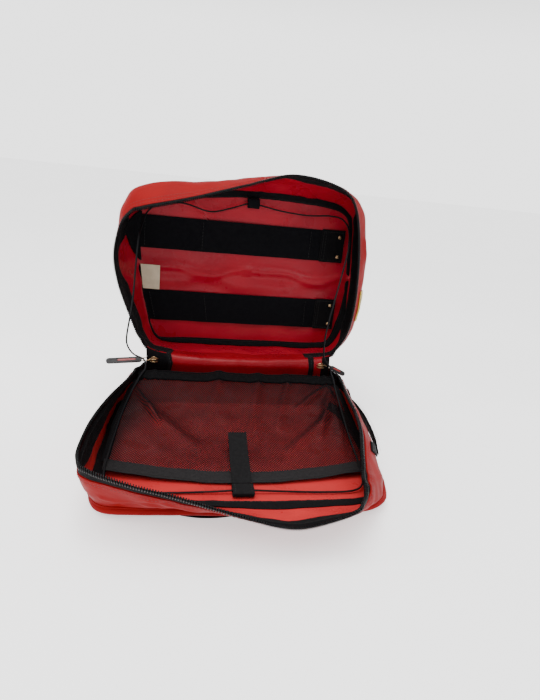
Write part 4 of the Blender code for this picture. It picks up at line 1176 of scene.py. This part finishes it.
def build_bands():
    """Two webbing bands in the lid, each under a patch with two rivets."""
    face = LID_DEPTH - FABRIC - 0.002
    share = np.linspace(0, 1, 91)
    swell = 0.002 * np.sin(math.pi * share) + 0.0006 * np.sin(share * 23)
    for name, low, x0, lean, x1, end in (("upper", 0.1550, -0.1490, 0.0, 0.146, 0.181),
                                         ("lower", 0.0395, -0.1290, -0.0115, 0.150, 0.181)):
        grid = lid_grid(x0, x1, low, low + BAND_WIDTH, (face - swell)[:, None], 91, 17, lean)
        grid = grid + LID_IN * (0.0005 * wobble(grid, 0.03, 91))[..., None]
        band = soft_strip(name + "_band_piece", grid[::-1], 0.0020, edge=0.0012)
        finish(band, "lid", "webbing", "black_webbing", name + "_band")
        raised = (grid + LID_IN * 0.0021)[:, 1:-1]
        sew(name + "_band_stitches", [(raised[row], LID_IN) for row in (3, -8, 30)], "lid",
            "black_webbing")
        patch = lid_grid(x1 - 0.004, end, low - 0.0012, low + BAND_WIDTH + 0.0016,
                         face - 0.0016, 19, 17)
        patch = patch + LID_IN * (0.0006 * wobble(patch, 0.018, 92))[..., None]
        cover = soft_strip(name + "_patch_piece", patch[::-1], 0.0020, edge=0.0014)
        finish(cover, "lid", "binding", "black_webbing", name + "_band_patch")
        raised = patch + LID_IN * 0.0021
        lines = [raised[1, 1:-1], raised[3, 1:-1], raised[1:-1, 1], raised[1:-1, -2]]
        sew(name + "_patch_stitches", [(line, LID_IN) for line in lines], "lid", "black_webbing")
        for part, height in (("top", low + BAND_WIDTH - 0.009), ("bottom", low + 0.009)):
            rivet(f"{name}_rivet_{part}", (end - 0.009, height, face - 0.0037),
                  f"rivet_{name}_{part}")


def rivet(name, place, node):
    """Domed cap with a flange, pressed into the patch."""
    profile = [(-0.0008, 0.0030), (0.0002, 0.0031), (0.0005, 0.0029), (0.0006, 0.0024),
               (0.0011, 0.0021), (0.0016, 0.0014), (0.0018, 0.0005)]
    axes = Vector(LID_IN).to_track_quat("X", "Z").to_matrix().transposed()
    item = placed_shape(name, lathe_shape(profile, 28), lid_points(place), axes, 35)
    finish(item, "lid", "metal", "metal", node)


def build_band_end(lid):
    """End of the upper band, folded round the corner and tapered to the zip tape."""
    across = np.linspace(0, 1, 21)
    peak = np.interp(across, (0, 0.62, 1), (0.02, 0.46, 0.03))
    place = (3.78 + 1.62 * across)[:, None]
    share = peak[:, None] * np.linspace(0.0, 1, 13)[None, :]
    lift = 0.0030 * np.clip(1 - share / 0.12, 0, 1)
    grid = lid.at(place, share, FABRIC + 0.0008 + lift)
    item = two_sided("upper_band_end", grid - lid.pick(lid.normal, place, share) * 0.0016, grid)
    finish(item, "lid", "webbing", "black_webbing")


def build_lid_trim(lid):
    """Webbing tab for the cord, blank care label and blank side tag."""
    tab = webbing_loop("lid_tab", 0.024, 0.018, (0.2365, 0.0720), (0.0075, 0.0045), 0.5, 0.0015,
                       lid_points)[0]
    finish(tab, "lid", "webbing", "black_webbing", "lid_cord_tab")
    root = lid_grid(0.015, 0.033, 0.238, 0.251, 0.0835, 9, 9)
    foot = soft_strip("lid_tab_foot", (root + LID_IN * 0.004)[::-1], 0.0015)
    finish(foot, "lid", "webbing", "black_webbing")

    grid = lid_grid(-0.1400, -0.1145, 0.0905, 0.1290, 0.0812, 15, 19, -0.0045)
    curl = np.linspace(0, 1, 15)[:, None] ** 2 * 0.0022
    grid = grid + LID_IN * (curl + 0.0005 * wobble(grid, 0.012, 95))[..., None]
    label = soft_strip("label_piece", grid[::-1], 0.0006, edge=0.0004)
    finish(label, "lid", "label", "white_label", "care_label")
    sew("label_stitches", [(grid[1, 1:-1] + LID_IN * 0.0007, LID_IN)], "lid", "white_label", 0.0022,
        0.0014, 0.00035, kind="label")

    along, shares = np.linspace(14.95, 15.75, 17)[:, None], np.linspace(0.50, 0.82, 9)[None, :]
    grid = lid.at(along, shares, -0.0006)
    normal = lid.pick(lid.normal, along, shares)
    tag = two_sided("tag_piece", grid + normal * 0.0012, grid)
    finish(tag, "lid", "tag", "yellow_tag", "side_tag")
    lines = [((grid + normal * 0.0014)[1:-1, k], normal[1:-1, k]) for k in (1, 7)]
    sew("tag_stitches", lines, "lid", "yellow_tag", 0.0024, 0.0014, 0.0004)


def build_front_pocket(lid):
    """Outer pocket on the lid: crowned panel, gusset, welt, and its zip."""
    shares = np.linspace(0.02, 0.97, 26)
    turns = np.linspace(0, math.pi / 2, 6)
    gusset = np.linspace(0.1, 1, 10)
    scale = np.concatenate([0.925 * shares, 0.925 * 0.97 + 0.028 * np.sin(turns),
                            0.925 + 0.075 * np.sin(math.pi / 2 * gusset)])
    profile = np.concatenate([POCKET_DEPTH - 0.0015 + 0.0042 * (1 - shares ** 4),
                              POCKET_DEPTH - 0.0015 - 0.005 * (1 - np.cos(turns)),
                              (POCKET_DEPTH - 0.0065) * (1 - gusset)])
    middle = np.array(LID_CENTRE)
    outline = spline(LID_ROWS, lid.places)[:, None, :2]
    flat = middle + (outline - middle) * scale[None, :, None]
    depth = np.broadcast_to(LID_DEPTH + 0.0004 + profile, flat.shape[:2])
    grid = lid_points(np.concatenate([flat, depth[..., None]], axis=-1))
    normal = facing(grid_normals(grid, True), 5, LID_OUT)
    relief = 0.0022 * wobble(grid, 0.06, 101) + 0.0009 * wobble(grid, 0.02, 102)
    fade = np.clip((len(profile) - 1 - np.arange(len(profile))) / 6, 0, 1)
    grid = grid + normal * (relief * fade[None, :])[..., None]
    item = capped_sheet("outer_pocket", grid, grid - normal * 0.0018, 60)
    finish(item, "lid", "red", "red_fabric", "front_pocket")
    finish(tube("outer_pocket_welt", grid[::2, 27], 0.0016, 8, True), "lid", "red", "red_fabric")
    finish(tube("outer_pocket_seam", grid[::2, -2], 0.0014, 8, True), "lid", "binding",
           "black_webbing")

    def face(x, height, lift):
        """Point on the pocket's crowned face."""
        away = np.hypot((x - middle[0]) / 0.165, (height - middle[1]) / 0.118)
        crown = POCKET_DEPTH - 0.0011 + 0.0042 * (1 - np.clip(away, 0, 1) ** 4)
        return lid_points(np.stack(np.broadcast_arrays(x, height, LID_DEPTH + crown + lift), axis=-1))

    x = np.linspace(-0.112, 0.164, 90)
    for name, low, high, level in (("low", 0.1925, 0.2040, 1), ("high", 0.2060, 0.2175, 5)):
        grid = face(x[:, None], np.linspace(low, high, 7)[None, :], 0.0008)
        finish(soft_strip("outer_zip_tape_" + name, grid, 0.0009), "lid", "tape", "black_zip")
        sew("outer_zip_stitches_" + name, [(grid[1:-1, level] + LID_OUT * 0.001, LID_OUT)], "lid",
            "black_zip")
    count = int((x[-1] - x[0] - 0.01) / (TOOTH_PITCH / 2))
    along = np.linspace(x[0] + 0.004, x[-1] - 0.006, count)
    origins = face(along, np.where(np.arange(count) % 2, 0.2043, 0.2057), 0.0016)
    shape = lathe_shape([(-0.0017, 0.0006), (-0.001, 0.0008), (0.0012, 0.0008), (0.0017, 0.0005)], 6)
    run, back = (np.broadcast_to(way, origins.shape) for way in (np.array((1.0, 0, 0)), LID_OUT))
    teeth = scatter("outer_zip_teeth", shape, origins, np.cross(back, run), run, back)
    finish(teeth, "lid", "teeth", "black_zip", "front_pocket_zip")


# ---- hinge, sliders and pullers ------------------------------------------
def build_hinge(base, lid):
    """Fabric that bends between the two halves, and the tapes and bound edges on it."""
    inner_side = np.array((0, -1.0, 0.15))

    def strip(base_places, lid_places, depth):
        """Grid up the base's wall, over the hinge line and up the lid's wall."""
        low = base.at(base_places[:, None], np.linspace(0.62, 1.0, 9)[None, :], depth)
        high = lid.at(lid_places[:, None], np.linspace(1.0, 0.66, 7)[None, :], depth)
        middle = 0.5 * (low[:, -1:] + high[:, :1]) + (0, -0.0015, 0)
        return np.concatenate([low, middle, high], axis=1)

    def buckled(grid, lift):
        """The grid with the hinge's soft creases, and lifted inwards."""
        buckle = 0.0014 * wobble(grid, 0.030, 111) + 0.0006 * wobble(grid, 0.012, 112)
        return grid + inner_side * (buckle + lift)[..., None]

    def bend(item, kind, slot, *nodes):
        finish(item, None, kind, slot, *nodes)
        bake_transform(item)

    turn = 3.63 * np.linspace(0, 1, 57)
    grid = buckled(strip(20.72 + turn, 17.72 + turn, FABRIC + 0.0010), 0.0006)
    panel = two_sided("hinge_fabric", grid, grid - inner_side * 0.0010, sharp=70)
    # The hinge fabric takes the darker copy of the red fabric: painted shade in the fold between the
    # halves.
    bend(panel, "red_hinge_painted_shade", "red_fabric", "hinge_panel_base", "hinge_panel_lid")
    for name, base_place, lid_place, width in (("left", 23.54, 20.66, 0.78),
                                               ("right", 20.74, 17.74, 0.30)):
        turn = width * np.linspace(0, 1, 13)
        grid = buckled(strip(base_place + turn, lid_place + turn, FABRIC + 0.0010), 0.0008)
        tape = two_sided("hinge_tape_" + name, grid + inner_side * 0.0005, grid, sharp=70)
        bend(tape, "tape", "black_zip")
    for name, base_place, lid_place in (("left", 23.52, 20.66), ("right", 21.25, 18.27)):
        turn = np.linspace(-0.045, 0.045, 7)
        grid = strip(base_place + turn, lid_place + turn * 1.1, FABRIC + 0.0016)
        grid = grid + inner_side * np.cos(np.linspace(-1.2, 1.2, 7))[:, None, None] * 0.0012
        edge = two_sided("hinge_edge_" + name, grid + inner_side * 0.0009, grid, sharp=70)
        bend(edge, "binding", "black_webbing", "hinge_binding_" + name)
        line = (grid[3] + inner_side * 0.0012, -grid_normals(grid, False)[3])
        bend(stitches("hinge_edge_" + name + "_stitches", [line]), "thread", "black_webbing")


def round_corners(corners, steps):
    """Outline of quarter arcs round corners (x, y, radius), from the one at +X +Y."""
    return np.array([(x + radius * math.cos(angle), y + radius * math.sin(angle))
                     for quarter, (x, y, radius) in enumerate(corners)
                     for angle in (np.arange(steps + 1) / steps + quarter) * math.pi / 2])


def rounded_tab(length, width, thickness, corner, tip):
    """Points and faces of a flat tab along +X, with a rounder free end."""
    outline = round_corners(((length - tip, width / 2 - tip, tip), (corner, width / 2 - corner, corner),
                             (corner, corner - width / 2, corner),
                             (length - tip, tip - width / 2, tip)), 5)
    towards = unit((length / 2, 0) - outline)
    return stacked([np.column_stack([outline + towards * inset, np.full(24, level * thickness)])
                    for level, inset in ((-0.5, 0.0007), (-0.36, 0.0001), (0.36, 0.0001), (0.5, 0.0007))])


def build_puller(name, body, pivot, tip, width, start, tilt=0.0):
    """Wire link and moulded tab with a coloured inlay, from a slider's eye."""
    pivot, tip = Vector(pivot), Vector(tip)
    run = (tip - pivot).normalized()
    side = run.cross(Vector((0, 0, 1))).normalized()
    if side.length < 0.5:
        side = Vector((1, 0, 0))
    up = side.cross(run).normalized()
    lean = Matrix.Rotation(math.radians(tilt), 3, run)
    side, up = lean @ up.cross(run), lean @ up
    length = (tip - pivot).length - start
    axes = (run, side, up)
    tab = placed_shape(name + "_tab", rounded_tab(length, width, 0.0036, 0.0036, width * 0.45),
                       pivot + run * start, axes)
    finish(tab, body, "rubber", "puller_rubber", body)
    inlay = placed_shape(name + "_inlay", rounded_tab(length * 0.52, width * 0.34, 0.0042, 0.0012, 0.0012),
                         pivot + run * (start + length * 0.16), axes)
    finish(inlay, body, "inlay", "puller_rubber")
    reach = start / 2 + 0.00225
    turn = np.linspace(0, 2 * math.pi, 36, endpoint=False)[:, None]
    wire = (np.array(pivot) + np.array(run) * (reach - 0.0005 - (reach + 0.0005) * np.cos(turn))
            + np.array(side) * 0.0026 * squared(np.sin(turn), 0.6))
    finish(tube(name + "_link", wire, 0.00065, 8, True), body, "metal", "metal")


def build_slider(name, body, node, centre, axes):
    """Zip slider: two shaped wings, the bridge between them and the puller's eye."""
    run, side, up = axes
    turn = np.linspace(0, 2 * math.pi, 24, endpoint=False)
    outline = np.column_stack([0.0064 * np.cos(turn),
                               (0.0044 + 0.0009 * np.cos(turn)) * squared(np.sin(turn), 0.7)])
    for part, level in (("low", -0.0022), ("high", 0.0018)):
        shape = stacked([np.column_stack([outline * scale, np.full(24, z + level)])
                         for z, scale in ((-0.0007, 0.9), (-0.0003, 1.0), (0.0004, 1.0), (0.0009, 0.86))])
        wing = placed_shape(f"{name}_{part}_wing", shape, centre, axes)
        finish(wing, body, "metal", "metal", *([node] if part == "high" else []))
    shape = lathe_shape([(-0.0024, 0.0012), (-0.0022, 0.0016), (0.0020, 0.0016), (0.0022, 0.0012)], 12)
    post = placed_shape(name + "_post", shape, Vector(centre) + run * 0.0022, (up, side, run))
    finish(post, body, "metal", "metal")
    turn = np.linspace(0, math.pi, 17)[:, None]
    arch = (np.array(centre) + np.array(run) * 0.0036 * np.cos(turn)
            + np.array(up) * (0.0022 + 0.0022 * np.sin(turn)))
    finish(tube(name + "_eye", arch, 0.0008, flatten=0.7), body, "metal", "metal")


def build_sliders():
    """The two main sliders and the outer pocket's, with their pullers."""
    for name, way, x, pivot, tip, width in (
            ("left", -1, -0.1165, (-0.1245, 0.1075, 0.1025), (-0.1865, 0.1075, 0.0965), 0.0085),
            ("right", 1, 0.1440, (0.1520, 0.1075, 0.1045), (0.1870, 0.1075, 0.0880), 0.0075)):
        axes = (Vector((way, 0, 0)), Vector((0, way, 0)), Vector((0, 0, 1)))
        build_slider("slider_" + name, "base", "zip_slider_" + name, (x, 0.1065, 0.1022), axes)
        build_puller("puller_" + name, "zip_puller_" + name, pivot, tip, width, 0.010, 40 * way)
    depth = LID_DEPTH + POCKET_DEPTH + 0.0037
    run, lift = Vector((1, 0, 0)), Vector(LID_OUT)
    build_slider("outer_slider", "lid", "front_pocket_slider", lid_points((0.1640, 0.205, depth)),
                 (run, lift.cross(run), lift))
    pivot, tip = (lid_points((0.1640, height, depth + 0.0040)) for height in (0.2045, 0.1610))
    build_puller("outer_puller", "front_pocket_puller", pivot, tip, 0.0085, 0.006)


# ---- harness under the back panel ----------------------------------------
def ribbon(centre, widths):
    """Outline of a flat strap along (x, y) points, with a width at each."""
    square = line_sides(centre)[:, :2] * widths[:, None] / 2
    return np.concatenate([centre + square, (centre - square)[::-1]])


def rounded_box(x, y, radius, steps):
    """Outline of a rounded rectangle that reaches x and y from its middle."""
    return round_corners([(a * (x - radius), b * (y - radius), radius)
                          for a, b in ((1, 1), (-1, 1), (-1, -1), (1, -1))], steps)


def shrink(outline, distance):
    """An outline moved inwards by a distance."""
    inward = -ring_sides(outline)[:, :2]
    if np.sum((outline.mean(axis=0) - outline) * inward) < 0:
        inward = -inward
    return outline + inward * distance


def read_points(item):
    return np.array([v.co for v in item.data.vertices])


def move_points(item, points):
    for vertex, place in zip(item.data.vertices, points):
        vertex.co = place


def puffed(name, outline, low, high, voxel, cap):
    """Foam pad: a slab puffed by cloth pressure, its points moved no further than cap."""
    small = shrink(outline, 0.003)
    middle, thin = (low + high) / 2, (high - low) * 0.32
    item = mesh_object(name, *stacked([np.column_stack([small, np.full(len(small), z)])
                                       for z in (middle - thin, middle + thin)]))
    item.data.remesh_voxel_size = voxel
    bpy.context.view_layer.objects.active = item
    with bpy.context.temp_override(object=item, active_object=item, selected_objects=[item]):
        bpy.ops.object.voxel_remesh()
    before = read_points(item)
    puff(item)
    moved = read_points(item) - before
    far = np.linalg.norm(moved, axis=1, keepdims=True)
    move_points(item, before + moved * np.minimum(1, cap / np.maximum(far, 1e-9)))
    smooth = item.modifiers.new("smooth", "SMOOTH")
    smooth.factor, smooth.iterations = 0.5, 4
    finer = item.modifiers.new("finer", "SUBSURF")
    finer.levels = finer.render_levels = 1
    apply_modifiers(item)
    return item


def puff(item):
    """Twenty steps of cloth with air pressure and no gravity."""
    cloth = item.modifiers.new("cloth", "CLOTH")
    cloth.settings.use_pressure = True
    cloth.settings.uniform_pressure_force = 4.0
    cloth.settings.effector_weights.gravity = 0.0
    cloth.settings.quality = 4
    cloth.collision_settings.use_collision = False
    scene = bpy.context.scene
    for step in range(1, 21):
        scene.frame_set(step)
    apply_modifiers(item)
    scene.frame_set(1)


def apply_modifiers(item):
    """Replace a piece's mesh by its evaluated one."""
    graph = bpy.context.evaluated_depsgraph_get()
    made = bpy.data.meshes.new_from_object(item.evaluated_get(graph))
    item.modifiers.clear()
    old = item.data
    item.data = made
    bpy.data.meshes.remove(old)


def seat(item, outline, low, high, channels):
    """Fit a puffed pad between low and high, and pinch its sewn channels."""
    co = read_points(item)
    z0, z1 = co[:, 2].min(), co[:, 2].max()
    share = (co[:, 2] - z0) / (z1 - z0)
    co[:, 2] = low + (high - low) * np.clip(share * 1.12 - 0.06, 0, 1)
    centre = co[:, 2] - (low + high) / 2
    edge = np.min(np.linalg.norm(co[:, None, :2] - outline[None, ::2], axis=2), axis=1)
    pinch = np.clip(1 - edge / 0.006, 0, 1) * 0.6
    for x0, y0, x1, y1 in channels:
        pinch = np.maximum(pinch, ridge(co[:, :2], (x0, y0), (x1, y1), 1.0, 0.0035))
    co[:, 2] -= centre * pinch * 0.55
    move_points(item, co)
    item.data.shade_smooth()


def resample(outline, spacing):
    """Points at even spacing round a closed outline."""
    ring = np.concatenate([outline, outline[:1]])
    lengths = running(ring)
    goal = np.linspace(0, lengths[-1], int(lengths[-1] / spacing), endpoint=False)
    return read_along(goal, lengths, ring)


def build_pad(name, node, outline, low, high, voxel, channels):
    """One padded piece with a bound edge and stitched channels."""
    outline = resample(outline, 0.004)
    pad = puffed(name, outline, low + 0.0002, high - 0.0002, voxel, 0.006)
    seat(pad, outline, low + 0.0002, high - 0.0002, channels)
    finish(pad, "base", "foam", "black_foam", node)
    edge = shrink(outline, 0.0016)
    ring = np.column_stack([edge, np.full(len(edge), (low + high) / 2)])
    finish(tube(name + "_edge", ring, 0.0017, 8, True), "base", "binding", "black_webbing")


def build_harness():
    """Back pad, spine pad, shoulder straps, ladder locks and webbing."""
    ring = spline(BASE_ROWS, np.arange(0, len(BASE_ROWS), 0.25))[:, :2]
    rows = [(-0.150, y, 0.165, y) for y in (-0.062, 0.060)]
    build_pad("back_pad_piece", "back_pad", shrink(ring, 0.004), PAD_Z, FLOOR_Z - 0.0003, 0.005, rows)
    build_border(ring)
    ribs = [(x, -0.017, x, 0.017) for x in (-0.08, -0.04, 0.0, 0.04, 0.08)]
    build_pad("spine_pad_piece", "lumbar_pad", rounded_box(0.120, 0.022, 0.015, 8), 0.0,
              PAD_Z - 0.0003, 0.004, ribs)
    # Shoulder strap on its way from the pack's top: x, distance from the middle line, width.
    rows = [(0.135, 0.048, 0.036), (0.110, 0.052, 0.048), (0.075, 0.062, 0.054),
            (0.035, 0.074, 0.054), (0.000, 0.080, 0.048), (-0.030, 0.078, 0.034)]
    smooth = spline(rows, np.linspace(0, 5, 26), False)
    for name, side, route in (("left", 1, LEFT_WEBBING), ("right", -1, RIGHT_WEBBING)):
        centre = smooth[:, :2] * (1, side)
        channel = [(*centre[4], *centre[13]), (*centre[13], *centre[22])]
        build_pad("shoulder_" + name, "shoulder_strap_" + name, ribbon(centre, smooth[:, 2] - 0.001),
                  0.0, PAD_Z - 0.0003, 0.004, channel)
        build_lock("lock_" + name, "ladder_lock_" + name, (-0.0432, 0.0775 * side, 0.0036))
        line = spline(route, np.linspace(0, 5, 61), False) * (1, side)
        share = np.linspace(-0.5, 0.5, 11)[None, :, None]
        flat = np.column_stack([line, np.full(len(line), 0.0003)])
        grid = flat[:, None] - line_sides(line)[:, None] * 0.0245 * share
        lift = 0.0006 + 0.0011 * np.clip((0.5 - np.abs(share)) / 0.06, 0, 1)
        strap = two_sided("strap_" + name, (grid + lift * (0, 0, 1))[:, ::-1], grid[:, ::-1])
        finish(strap, "base", "webbing", "black_webbing", "strap_webbing_" + name)


def build_border(ring):
    """Red fabric that wraps the edge of the back panel down to its underside."""
    side = ring_sides(ring)[:, None]
    turn = np.linspace(0, 1, 13)
    out = 0.0040 * np.sin(math.pi * np.clip(turn * 1.1, 0, 1)) ** 0.6 - 0.0080 * turn ** 4
    drop = np.column_stack([ring, np.zeros(len(ring))])[:, None] + side * out[None, :, None]
    drop[..., 2] = FLOOR_Z + 0.0015 - (FLOOR_Z - 0.0060 + 0.0015) * turn
    drop = drop + side * (0.0012 * wobble(drop, 0.030, 121))[..., None]
    item = two_sided("back_panel_border", drop, drop - side * 0.0012, closed=True)
    finish(item, "base", "red", "red_fabric")


def build_lock(name, node, centre):
    """Ladder lock: a frame with two bars across it."""
    ring = shrink(resample(rounded_box(0.011, 0.017, 0.003, 6), 0.0015), 0.0018)
    path = np.column_stack([ring, np.zeros(len(ring))]) + centre
    finish(tube(name + "_frame", path, 0.0019, 10, True, 1.4), "base", "plastic", "black_plastic", node)
    for n, offset in enumerate((-0.0035, 0.0040)):
        line = np.array([(offset, y, 0.0006) for y in np.linspace(-0.0152, 0.0152, 12)]) + centre
        bar = tube(f"{name}_bar_{n}", line, 0.0017, 10, flatten=0.8)
        finish(bar, "base", "plastic", "black_plastic")


# ---- elastic cord and stage ----------------------------------------------
def cord_path():
    """The whole cord as one run, from the tab round the bag and back to it."""
    start = next(n for n, p in enumerate(LID_CORD) if p[0] > STRAP_X + 0.02)
    tab = lid_points(TAB_CENTRE)
    rows = np.vstack([tab + (0.001, 0, 0), lid_points(LID_CORD[start:-1] + RIGHT_STAY),
                      BASE_CORD[::-1], lid_points(LEFT_STAY[::-1]), lid_points(LID_CORD[1:start]),
                      tab - (0.001, 0, 0)])
    dense = spline(rows, np.linspace(0, len(rows) - 1, len(rows) * 30), False)
    lengths = running(dense)
    goal = np.linspace(0, lengths[-1], int(lengths[-1] / 0.0035))
    return read_along(goal, lengths, dense), lengths[-1]


def build_cord():
    """One elastic cord through the tab and the front loop."""
    path, length = cord_path()
    cord = tube("elastic_cord_loop", path, CORD_R, 10)
    finish(cord, None, "cord", "elastic_cord", "base_cord", "lid_cord", "left_stay_cord",
           "right_stay_cord")
    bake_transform(cord)


def build_floor():
    bpy.ops.mesh.primitive_plane_add(size=12)
    ground = bpy.context.object
    ground.name = "studio_floor"
    ground.data.materials.append(KINDS["ground"])


build_camera()
build_lights()
KINDS = build_materials()
build_cord()
BASE, LID = base_wall(), lid_wall()
build_trays(BASE, LID)
build_net_pocket()
build_closure()
build_carry_handle(BASE)
build_bands()
build_band_end(LID)
build_lid_trim(LID)
build_front_pocket(LID)
build_hinge(BASE, LID)
build_sliders()
build_harness()
build_floor()
